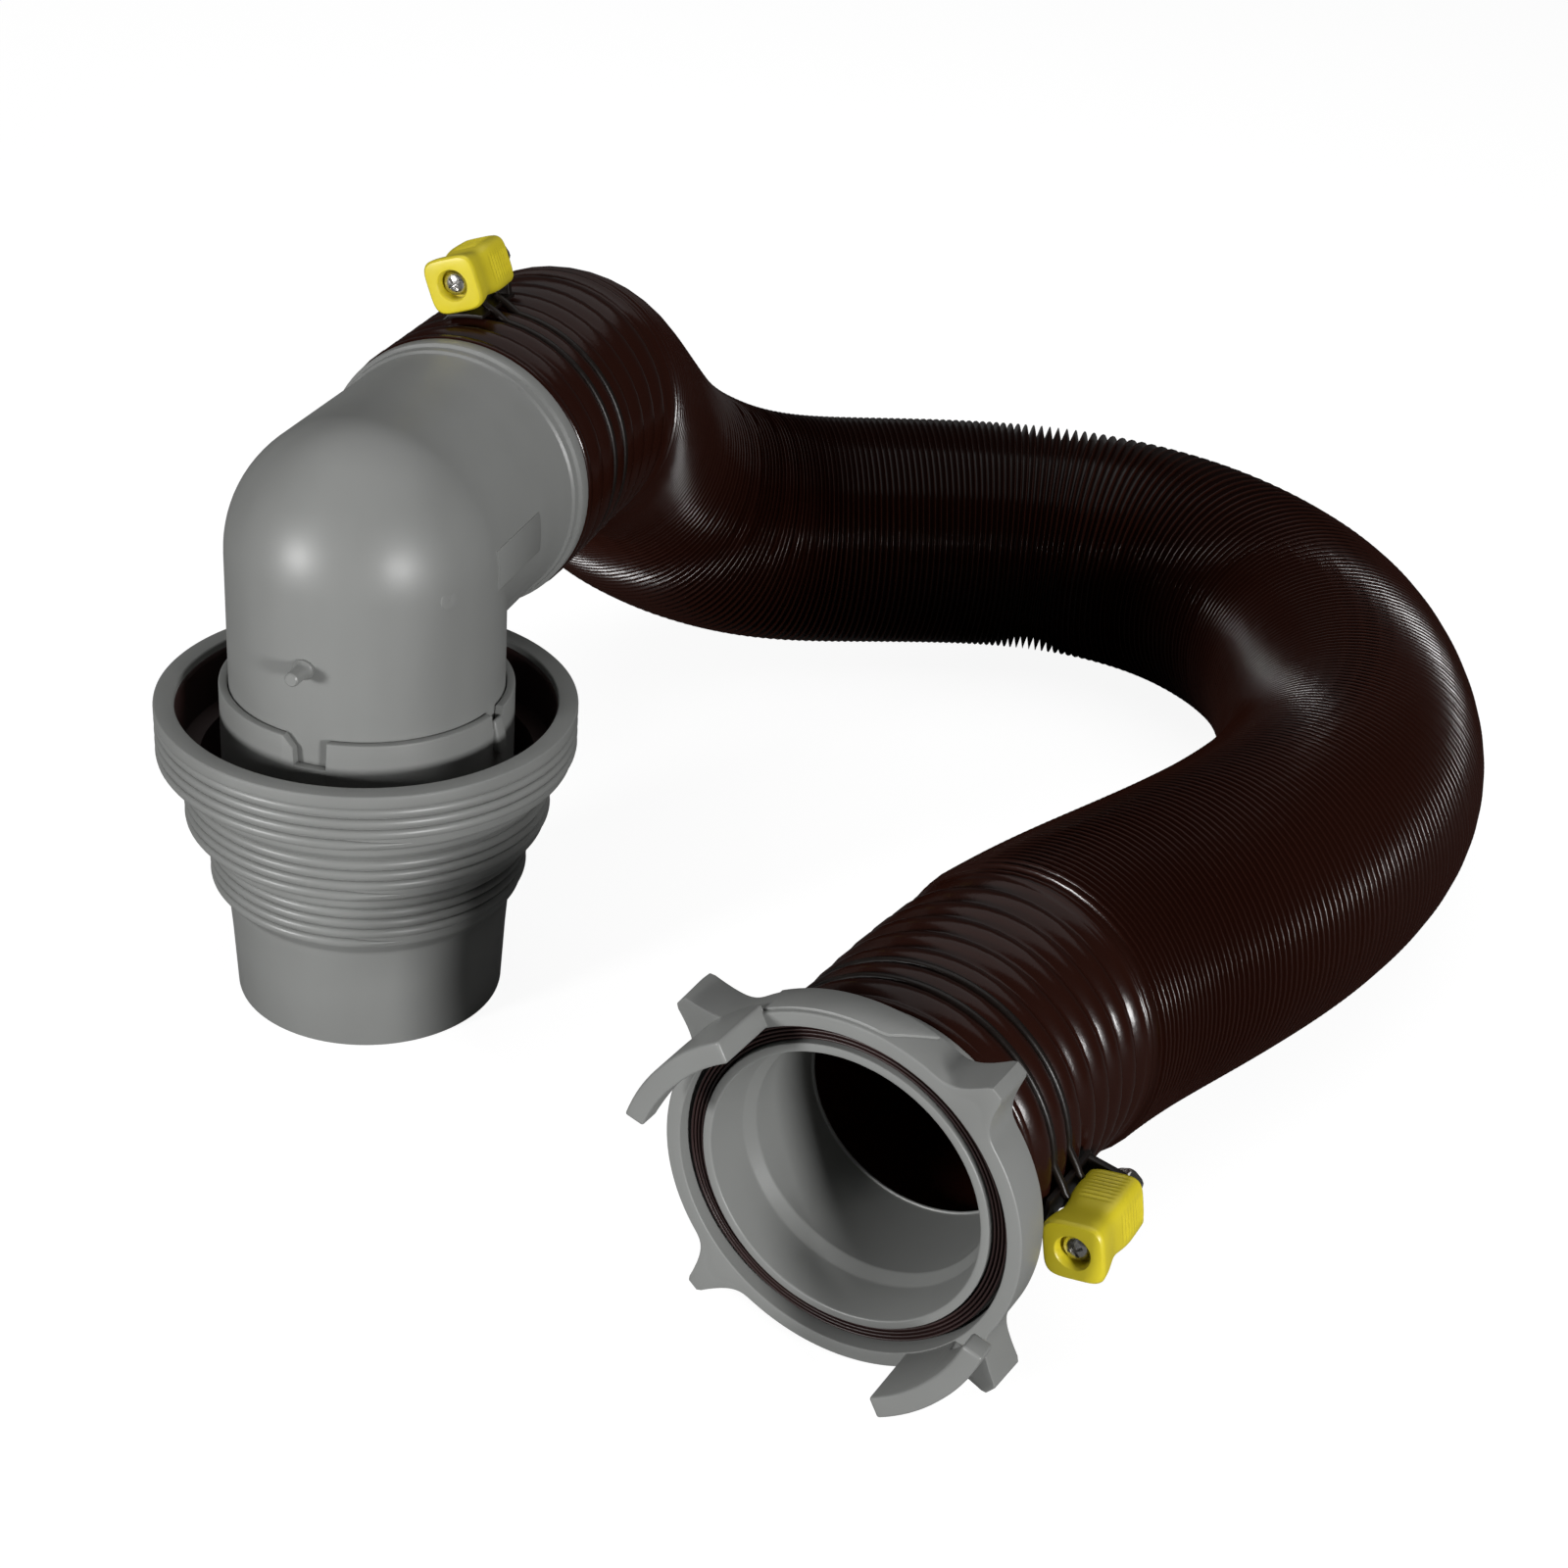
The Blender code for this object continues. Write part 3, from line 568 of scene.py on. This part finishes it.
# The hub: the tube in the middle of the bowl that the elbow's foot stands in. It is notched for
# the elbow's peg, and a small moulded snap sits beside its second notch.
HUB_TOP = 0.0970
# Each notch: its middle in degrees, its width and its depth. The two wide ones have a sloped side.
NOTCHES = ((-101.8, 0.0094, 0.0080), (-20.0, 0.0060, 0.0040), (78.2, 0.0094, 0.0080), (160.0, 0.0060, 0.0040))
NOTCH_SIDE = 0.0002
NOTCH_SLOPE = 0.0030
HUB_RADII = (0.0379, 0.0403)


def hub_section(angle):
    top = HUB_TOP
    for middle, width, depth in NOTCHES:
        off = ((angle - radians(middle) + pi) % tau - pi) * HUB_RADII[1]
        cut = min(max((width / 2 + NOTCH_SIDE - abs(off)) / (2 * NOTCH_SIDE), 0.0), 1.0)
        if width > 0.008 and off < 0.0:
            cut = max(cut, 0.40 * min(max((width / 2 + NOTCH_SLOPE + off) / NOTCH_SLOPE, 0.0), 1.0))
        top -= depth * cut
    inner, outer = HUB_RADII
    return eased([(inner, 0.0445), (inner, top), (outer, top), (outer, 0.0445)], 0.0006)


hub_angles = sorted(
    [tau * k / 120 for k in range(120)]
    + [(radians(middle) + side * (width / 2 + shift) / HUB_RADII[1]) % tau
       for middle, width, depth in NOTCHES for side in (-1, 1)
       for shift in (-NOTCH_SIDE, -0.00007, 0.00007, NOTCH_SIDE, NOTCH_SLOPE)]
)
mount(
    "hub_tube", round_mesh("hub_tube", adapter_place, hub_section, hub_angles), grey,
    "grey_plastic", "adapter", "adapter_hub",
)


def rounded_block(name, place, low, high, radius, taper=1.0):
    """A block with rounded edges. Its top can be thinner than its foot, along X."""
    bm = bmesh.new()
    low, high = Vector(low), Vector(high)
    bmesh.ops.create_cube(
        bm, size=1.0, matrix=Matrix.Translation((low + high) / 2) @ Matrix.Diagonal((*(high - low), 1.0))
    )
    for vert in bm.verts:
        if vert.co.z > (low.z + high.z) / 2:
            vert.co.x = low.x + (vert.co.x - low.x) * taper
    bmesh.ops.bevel(bm, geom=bm.edges[:], offset=radius, segments=3, profile=0.5, affect="EDGES")
    return close_mesh(bm, name, place)


SNAP_LOW = (0.0392, -0.0024, 0.0855)
SNAP_HIGH = (0.0425, 0.0024, 0.0948)
for side in (0.0, pi):
    snap_place = adapter_place @ Matrix.Rotation(radians(-20.0) + side, 4, "Z")
    mount(
        f"hub_snap_{int(side)}", rounded_block("hub_snap", snap_place, SNAP_LOW, SNAP_HIGH, 0.0007, 0.45),
        grey, "grey_plastic", "adapter",
    )


# The elbow: a grey moulding of two 75 mm tubes that meet in a ball-shaped heel. A collar stops the
# hose at the outlet, and a peg on its foot locks in the hub's notch. A soft ring seals its foot.
TUBE_RADIUS = 0.0376
TUBE_BORE = 0.0346
ELBOW_FOOT = 0.0475
PEG_TURN = radians(-105.0)
PEG_HEIGHT = 0.1165
PEG_ROOT = 0.0358
PLATE_FROM = radians(169.6)
PLATE_TO = radians(187.0)
MARK_TURN = radians(-45.5)
outlet_place = axis_frame(OUTLET_ROOT, OUTLET_WAY)


def domed(radius, foot):
    """A post with a ball top, as an open section that starts and ends on its axis."""
    arc = [pi / 2 * k / 24 for k in range(24, 0, -1)]
    cap = [(radius * cos(angle), OUTLET_HEIGHT + radius * sin(angle)) for angle in arc]
    cap[0] = (0.0, OUTLET_HEIGHT + radius)
    return cap + [(radius, OUTLET_HEIGHT), (radius, foot), (0.0, foot)]


def solid(name, place, outline, angles=96):
    return round_mesh(name, place, lambda angle: outline, angles, closed=False)


def carved(name, base, changes):
    """The base mesh after each (operation, mesh) in turn, as a plain mesh."""
    body = bpy.data.objects.new(name, base)
    bpy.context.scene.collection.objects.link(body)
    tools = []
    for operation, mesh in changes:
        tool = bpy.data.objects.new(name + "_tool", mesh)
        bpy.context.scene.collection.objects.link(tool)
        cut = body.modifiers.new(operation.lower(), "BOOLEAN")
        cut.operation = operation
        cut.solver = "EXACT"
        cut.object = tool
        tools.append(tool)
    graph = bpy.context.evaluated_depsgraph_get()
    mesh = bpy.data.meshes.new_from_object(body.evaluated_get(graph), depsgraph=graph)
    for item in [body, *tools]:
        item.modifiers.clear()
        bpy.data.objects.remove(item)
    mesh.shade_smooth()
    mesh.set_sharp_from_angle(angle=SHARP_ANGLE)
    return mesh


arm_outline = [
    (0.0, 0.0611), (0.0393, 0.0611), (0.0398, 0.0608), (0.0399, 0.0603), (0.0399, 0.0572), (0.0397, 0.0566),
    (0.0388, 0.0561), (0.0386, 0.0555), (0.0387, 0.0546), (0.0385, 0.0539), (0.0378, 0.0534),
    (TUBE_RADIUS, 0.0528), (TUBE_RADIUS, 0.0), (0.0, 0.0),
]
peg_way = Vector((cos(PEG_TURN), sin(PEG_TURN), 0.0))
peg_place = axis_frame(ADAPTER_FOOT + peg_way * PEG_ROOT + Vector((0.0, 0.0, PEG_HEIGHT)), peg_way)
peg_outline = [
    (0.0, 0.0092), (0.0015, 0.0092), (0.0019, 0.0088), (0.0020, 0.0082), (0.0020, 0.0040), (0.0022, 0.0032),
    (0.0028, 0.0025), (0.0028, 0.0), (0.0, 0.0),
]
arm_bore = [(0.0, 0.071), (TUBE_BORE, 0.071), (TUBE_BORE, 0.0), (0.0, 0.0)]
elbow_mesh = carved("elbow_moulding", solid("elbow_post", adapter_place, domed(TUBE_RADIUS, ELBOW_FOOT)), [
    ("UNION", solid("elbow_arm", outlet_place, arm_outline)),
    ("DIFFERENCE", solid("elbow_post_bore", adapter_place, domed(TUBE_BORE, ELBOW_FOOT - 0.01))),
    ("DIFFERENCE", solid("elbow_arm_bore", outlet_place, arm_bore)),
    ("UNION", solid("elbow_peg", peg_place, peg_outline, 32)),
])
mount("elbow_moulding", elbow_mesh, grey, "grey_plastic", "fixed_kit", "elbow_body")


def bent_bar(name, place, rows, rounding, segments):
    """A closed bar through rows of four (angle, radius, height) corners, its hard edges rounded."""
    bm = bmesh.new()
    rows = [[bm.verts.new((r * cos(angle), r * sin(angle), z)) for angle, r, z in row] for row in rows]
    for row, following in zip(rows, rows[1:]):
        for k in range(4):
            bm.faces.new((row[k], row[(k + 1) % 4], following[(k + 1) % 4], following[k]))
    bm.faces.new(rows[0][::-1])
    bm.faces.new(rows[-1])
    bmesh.ops.recalc_face_normals(bm, faces=bm.faces)
    hard = [edge for edge in bm.edges if edge.calc_face_angle(0.0) > radians(40.0)]
    bmesh.ops.bevel(bm, geom=hard, offset=rounding, segments=segments, profile=0.5, affect="EDGES")
    return close_mesh(bm, name, place)


def curved_plate(name, place, radius, rise, first, last, low, high, point=0.0):
    """A thin blank plate that follows a tube round the place's Z. Its first end can be pointed."""
    rows = []
    for k in range(25):
        share = k / 24
        angle = first + share * (last - first)
        pinch = max(1.0 - share / point, 0.0) * 0.5 if point else 0.0
        top = high - pinch * 1.9 * (high - low)
        inner, outer = radius - 0.001, radius + rise
        corners = ((inner, low), (outer, low), (outer, top), (inner, top))
        rows.append([(angle, *corner) for corner in corners])
    return bent_bar(name, place, rows, rise * 0.4, 2)


side_plate = curved_plate(
    "elbow_side_plate", outlet_place, TUBE_RADIUS, 0.00035, PLATE_FROM, PLATE_TO, 0.0008, 0.0300
)
mount("elbow_side_plate", side_plate, grey, "grey_plastic", "fixed_kit")
mark_way = Vector((cos(MARK_TURN), sin(MARK_TURN), 0.0))
mark_place = axis_frame(OUTLET_ROOT + mark_way * 0.0369, mark_way) @ Matrix.Rotation(radians(-7.0), 4, "X")
mark_outline = [(0.0001, 0.0008), (0.0026, 0.0008), (0.0026, -0.0005), (0.0001, -0.0005)]
mount(
    "elbow_gate_mark", turned("elbow_gate_mark", mark_place, mark_outline, 32, 0.0002), grey,
    "grey_plastic", "fixed_kit",
)

seal_outline = [(0.0348, 0.0471), (0.0374, 0.0471), (0.0374, 0.0443), (0.0348, 0.0443)]
mount(
    "elbow_foot_seal", turned("elbow_foot_seal", adapter_place, seal_outline, 96, 0.0006), rubber,
    "brown_rubber", "fixed_kit", "elbow_face_seal",
)

# The tube inside the hose's first end has three shallow barbs that hold the vinyl.
SPIGOT_RADIUS = 0.0350
SPIGOT_BORE = 0.0322
SPIGOT_ROOT = 0.0560
SPIGOT_TIP = 0.1010
BARB = 0.0006
barb_step = (SPIGOT_TIP - SPIGOT_ROOT) / 4
spigot_outline = [(SPIGOT_BORE, SPIGOT_ROOT), (SPIGOT_RADIUS - BARB, SPIGOT_ROOT)]
for k in range(1, 4):
    barb = SPIGOT_ROOT + k * barb_step
    spigot_outline += [(SPIGOT_RADIUS - BARB, barb), (SPIGOT_RADIUS, barb + 0.0002)]
spigot_outline += [(SPIGOT_RADIUS - 0.0007, SPIGOT_TIP), (SPIGOT_BORE, SPIGOT_TIP)]
mount(
    "elbow_hose_spigot", turned("elbow_hose_spigot", outlet_place, spigot_outline, 96, 0.0004), grey,
    "grey_plastic", "fixed_kit",
)


# The bayonet socket: a grey moulding that slips over a waste valve's outlet. A flange behind its lip
# carries the turning ring, a ribbed rubber ring seals it, and its long neck goes into the hose.
ring_place = axis_frame(BAYONET_CENTRE, BAYONET_WAY)
socket_outline = [
    (0.0360, -0.0020), (0.0383, -0.0020), (0.0383, -0.0065), (0.0431, -0.0065), (0.0431, -0.0095),
    (0.0378, -0.0095), (0.0378, -0.0245), (0.0348, -0.0247), (0.0345, -0.0450), (0.0330, -0.0456),
    (0.0316, -0.0450), (0.0316, -0.0444), (0.0322, -0.0442), (0.0324, -0.0175), (0.0343, -0.0140),
]
mount(
    "bayonet_socket", turned("bayonet_socket", ring_place, socket_outline, 144, 0.0005), grey,
    "grey_plastic", "fixed_kit", "bayonet_body",
)
SEAL_RIBS = 4
SEAL_PITCH = 0.00096
seal_top = []
for k in range(SEAL_RIBS):
    at = 0.0387 + SEAL_PITCH * k
    seal_top += [(at, -0.0043), (at + 0.00020, -0.0031), (at + 0.00070, -0.0031), (at + 0.00090, -0.0043)]
seal_outline = [(0.0386, -0.0061), *seal_top, (0.0426, -0.0061)]
mount(
    "bayonet_ribbed_seal", turned("bayonet_ribbed_seal", ring_place, seal_outline, 120, 0.0003), rubber,
    "brown_rubber", "fixed_kit", "bayonet_seal",
)


# The bayonet ring: a grey moulding that turns on the flange. Two hooks catch the valve's pins, and
# four ears with hollow flanks give the fingers a grip.
RING_RADIUS = 0.0474
RING_DEPTH = 0.0118
EAR_HEIGHT = 0.0111
EAR_ANGLES = [radians(51.0 + 90.0 * k) for k in range(4)]
HOOK_START = radians(120.0)
HOOK_SWEEP = radians(45.5)
HOOK_TOP = 0.0180
PLATE_LOW = -0.0108
PLATE_HIGH = -0.0012


def ring_section(angle):
    nearest = min(abs((angle - ear + pi) % tau - pi) for ear in EAR_ANGLES)
    flank = min(max((nearest - radians(1.9)) / radians(12.5), 0.0), 1.0)
    swell = (1.0 - flank) ** 3.2
    outer = RING_RADIUS + EAR_HEIGHT * swell
    outline = [
        (0.0435, 0.0), (0.0462 + 0.4 * EAR_HEIGHT * swell, 0.0003 * swell),
        (outer - 0.0006 * swell, 0.0012 * swell), (outer, -RING_DEPTH + 0.0006 * swell),
        (0.0385, -RING_DEPTH), (0.0385, -0.0098), (0.0435, -0.0098),
    ]
    return eased(outline, 0.0006)


def hook_mesh(name, start):
    """One hook: full height at its root, undercut towards its free tip."""
    rows = []
    for k in range(33):
        share = k / 32
        angle = start + share * HOOK_SWEEP
        rise = min(max((share - 0.50) / 0.50, 0.0), 1.0)
        low = -0.0012 if share < 0.48 else 0.0040 + rise * 0.0082
        inner, outer = 0.0438 + 0.0008 * rise, 0.0494 + 0.0004 * rise
        corners = ((inner, low), (outer, low), (outer, HOOK_TOP), (inner, HOOK_TOP))
        rows.append([(angle, *corner) for corner in corners])
    return bent_bar(name, ring_place, rows, 0.0007, 3)


mount(
    "bayonet_turning_ring", round_mesh("bayonet_turning_ring", ring_place, ring_section, 480), grey,
    "grey_plastic", "bayonet_swivel", "bayonet_ring",
)
for number in range(2):
    half_turn = pi * number
    mount(
        f"bayonet_hook_{number}", hook_mesh("bayonet_hook", HOOK_START + half_turn), grey,
        "grey_plastic", "bayonet_swivel",
    )
    mount(
        f"bayonet_plate_{number}",
        curved_plate("bayonet_plate", ring_place, RING_RADIUS, 0.0007, radians(70.0) + half_turn,
                     radians(121.0) + half_turn, PLATE_LOW, PLATE_HIGH, 0.22),
        grey, "grey_plastic", "bayonet_swivel",
    )


# The hose clamps: two hoops of black coated spring wire in a black bracket, drawn together by a
# plated screw that a yellow knob turns. One sits on each end of the hose.
KNOB_OFFSET = 0.0520
KNOB_LENGTH = 0.0260
WIRE_RADIUS = 0.0011
WIRE_LOOP = 0.0390
HOOP_HEIGHTS = (-0.01275, -0.02125)
STRAP_REACH = 0.115
LUG_FACE = -0.0276
LUG_THICKNESS = 0.0022
LUG_HALF = 0.0048
SCREW_RADIUS = 0.0019
SCREW_HOLE = 0.0024
# Each clamp: its end of the hose, the way along the hose, its place there, its turn and its knob's twist.
CLAMPS = (
    ("elbow", OUTLET_ROOT, OUTLET_WAY, 0.0710, radians(98.0), radians(12.0)),
    ("bayonet", BAYONET_CENTRE, -BAYONET_WAY, 0.0220, radians(-9.0), radians(20.0)),
)

yellow, start, feed = new_finish("yellow_moulded_plastic", (0.68, 0.57, 0.02), 0.38)
cloud = noise(start, 90.0, 3.0)
feed("Base Color", shades(start, cloud, (0.60, 0.49, 0.016), (0.73, 0.62, 0.028)))
feed("Roughness", 0.30 + noise(start, 400.0, 2.0) * 0.2)
feed("Normal", relief(start, noise(start, 2400.0, 2.0), 0.00006, 0.4))

coated, start, feed = new_finish("black_coated_wire", (0.008, 0.005, 0.004), 0.33)
coated.node_tree.nodes["Principled BSDF"].inputs["Specular IOR Level"].default_value = 0.3
feed("Roughness", 0.25 + noise(start, 500.0, 2.0) * 0.25)
feed("Normal", relief(start, noise(start, 1800.0, 3.0), 0.00005, 0.5))

steel, start, feed = new_finish("bright_plated_steel", (0.62, 0.61, 0.59), 0.2, 1.0)
scratches = noise(start, 700.0, 4.0, (1.0, 6.0, 1.0))
feed("Base Color", shades(start, scratches, (0.50, 0.49, 0.47), (0.72, 0.71, 0.69)))
feed("Roughness", 0.14 + scratches * 0.22)

round_wire, entry = new_tree("round wire", ("Thickness", "Sides"))
profile = entry.node(
    "GeometryNodeCurvePrimitiveCircle", values={"Resolution": entry.other("Sides"), "Radius": 1.0}
)
drawn = entry.node("GeometryNodeCurveToMesh", values={
    "Curve": entry.other("Geometry"), "Profile Curve": profile, "Scale": entry.other("Thickness"),
    "Fill Caps": True,
})
close_tree(round_wire, entry, drawn)


def hoop_points(height):
    """One hoop: it leaves the bracket, goes round the hose and comes back to the bracket."""
    points = [(0.0436, 0.0034, height), (0.0426, 0.0042, height), (0.0410, 0.0064, height)]
    angles = np.linspace(radians(15), radians(345), 90)
    points += [(WIRE_LOOP * cos(angle), WIRE_LOOP * sin(angle), height) for angle in angles]
    return points + [(x, -y, z) for x, y, z in points[2::-1]]


def wire_hoops(place):
    """Both hoops of a clamp as one mesh."""
    bm = bmesh.new()
    for height in HOOP_HEIGHTS:
        hoop = grow("hoop", line_data("hoop", hoop_points(height)), round_wire,
                    {"Thickness": WIRE_RADIUS, "Sides": 12}, coated)
        bm.from_mesh(hoop.data)
        bpy.data.objects.remove(hoop)
    return close_mesh(bm, "wire_hoops", place)


def bracket_mesh(place):
    """A strap that lies on the hoops, and a lug that stands on its end and holds the screw."""
    outline = eased([(0.0409, -0.0298), (0.0421, -0.0298), (0.0421, -0.0060), (0.0409, -0.0060)], 0.0003)
    bm = bmesh.new()
    bm.from_mesh(round_mesh("strap", Matrix.Identity(4), lambda angle: outline, 144))
    middles = [(face, face.calc_center_median()) for face in bm.faces]
    past_ends = [face for face, middle in middles if abs(atan2(middle.y, middle.x)) > STRAP_REACH]
    bmesh.ops.delete(bm, geom=past_ends, context="FACES")
    bmesh.ops.holes_fill(bm, edges=[edge for edge in bm.edges if edge.is_boundary])
    strap = close_mesh(bm, "strap", Matrix.Identity(4))
    lug_back = LUG_FACE - LUG_THICKNESS
    lug_low = (0.0412, -LUG_HALF, lug_back)
    lug = rounded_block("lug", Matrix.Identity(4), lug_low, (KNOB_OFFSET, LUG_HALF, LUG_FACE), 0.0003)
    lug_end = turned("lug_end", Matrix.Translation((KNOB_OFFSET - 0.0004, 0.0, 0.0)), [
        (0.0010, LUG_FACE - 0.0001), (0.0046, LUG_FACE - 0.0001), (0.0046, lug_back + 0.0001),
        (0.0010, lug_back + 0.0001),
    ], 48)
    hole_place = Matrix.Translation((KNOB_OFFSET, 0.0, LUG_FACE))
    hole_outline = [(0.0, 0.005), (SCREW_HOLE, 0.005), (SCREW_HOLE, -0.010), (0.0, -0.010)]
    hole = solid("hole", hole_place, hole_outline, 24)
    bracket = carved("bracket", strap, [("UNION", lug), ("UNION", lug_end), ("DIFFERENCE", hole)])
    bracket.transform(place)
    return bracket


def knob_section(angle):
    """From the back of the knob up its waisted side, over its face, down the pocket and the bore."""
    corner = (abs(cos(angle)) ** 4.4 + abs(sin(angle)) ** 4.4) ** (1 / 4.4)
    face = abs(abs(cos(angle)) - abs(sin(angle)))
    section = [(0.0062 / corner, -KNOB_LENGTH), (0.0070 / corner, -KNOB_LENGTH + 0.0003)]
    for k in range(64):
        share = k / 63
        height = -KNOB_LENGTH + 0.0010 + share * (KNOB_LENGTH - 0.0022)
        half = 0.0074 + 0.0006 * share - 0.0010 * exp(-(((share - 0.64) / 0.20) ** 2))
        ribs = 0.5 + 0.5 * cos(tau * (height + KNOB_LENGTH) / 0.00145)
        fade = min(max((-0.0125 - height) / 0.0015, 0.0), 1.0) * min(max((face - 0.25) / 0.3, 0.0), 1.0)
        section.append(((half - 0.00030 * fade * (1.0 - ribs)) / corner, height))
    section += [(0.0078 / corner, -0.0007), (0.0074 / corner, -0.0002), (0.0066 / corner, 0.0)]
    section += [(0.0047, -0.0001), (0.0044, -0.0004), (0.0042, -0.0010), (0.0042, -0.0040), (0.0024, -0.0040)]
    return section + [(0.0024, -KNOB_LENGTH)]


def hex_section(angle, flat=0.0037, foot=-0.0030, top=0.0):
    corner = flat / cos((angle + pi / 6) % (pi / 3) - pi / 6)
    eased_corner = min(corner, flat * 1.05)
    return [
        (0.0022, foot + 0.0002), (0.0026, foot), (eased_corner, foot), (corner, foot + 0.0005),
        (corner, top - 0.0005), (eased_corner, top), (0.0026, top), (0.0022, top - 0.0002),
    ]


CROSS_LOW = (-0.0021, -0.00042, -0.0030)
CROSS_HIGH = (0.0021, 0.00042, 0.001)


def screw_mesh(place):
    """A domed head with a cross cut in it, on a plain shank."""
    dome = [(0.0034 * sin(a), -0.0027 + 0.0014 * cos(a)) for a in np.linspace(0.25, pi / 2, 8)]
    outline = [
        (0.0, -0.0013), *dome, (0.0034, -0.0037), (SCREW_RADIUS, -0.0037), (SCREW_RADIUS, -0.0342),
        (0.0014, -0.0345), (0.0, -0.0345),
    ]
    cross = []
    for turn in (0.35, 0.35 + pi / 2):
        slot_place = place @ Matrix.Rotation(turn, 4, "Z")
        cross.append(("DIFFERENCE", rounded_block("slot", slot_place, CROSS_LOW, CROSS_HIGH, 0.0001)))
    return carved("cross_head_screw", solid("screw", place, outline, 40), cross)


washer_outline = [
    (SCREW_HOLE, LUG_FACE + 0.0003), (0.0042, LUG_FACE + 0.0003), (0.0042, LUG_FACE + 0.0012),
    (SCREW_HOLE, LUG_FACE + 0.0012),
]
for clamp, origin, away, station, around, twist in CLAMPS:
    sideways = away.cross(Vector((0.0, 0.0, 1.0)))
    radial = sideways * cos(around) + Vector((0.0, 0.0, 1.0)) * sin(around)
    clamp_place = axis_frame(origin + away * station, -away, (-away).cross(radial))
    screw_line = clamp_place @ Matrix.Translation((KNOB_OFFSET, 0.0, 0.0))
    knob_place = screw_line @ Matrix.Rotation(twist, 4, "Z")
    nut_place = screw_line @ Matrix.Translation((0.0, 0.0, LUG_FACE - LUG_THICKNESS - 0.0003))
    knob_body = f"{clamp}_knob"
    mount(
        f"{clamp}_wire_hoops", wire_hoops(clamp_place), coated, "coated_wire", "fixed_kit",
        f"{clamp}_clamp_wire",
    )
    mount(
        f"{clamp}_bracket", bracket_mesh(clamp_place), coated, "coated_wire", "fixed_kit",
        f"{clamp}_clamp_bracket",
    )
    mount(
        f"{clamp}_washer", turned("washer", screw_line, washer_outline, 48, 0.0002), steel, "bright_steel",
        "fixed_kit", f"{clamp}_clamp_washer",
    )
    mount(
        f"{clamp}_hex_nut", round_mesh("hex_nut", nut_place, hex_section, 72), steel, "bright_steel",
        "fixed_kit", f"{clamp}_clamp_nut",
    )
    mount(
        f"{clamp}_grip_knob", round_mesh("grip_knob", knob_place, knob_section, 96), yellow, "yellow_plastic",
        knob_body, f"{clamp}_clamp_knob",
    )
    mount(
        f"{clamp}_cross_head_screw", screw_mesh(knob_place), steel, "bright_steel", knob_body,
        f"{clamp}_clamp_screw",
    )
    wind_thread(
        f"{clamp}_screw_thread", knob_place, knob_body, steel,
        {"Turns": 12.0, "Radius": SCREW_RADIUS, "Pitch": 0.0007, "Foot": -0.0343, "Start Angle": 0.0,
         "Ridge Height": 0.0001, "Ridge Width": 0.0005, "Points Per Turn": 24, "Taper": 0.5},
    )
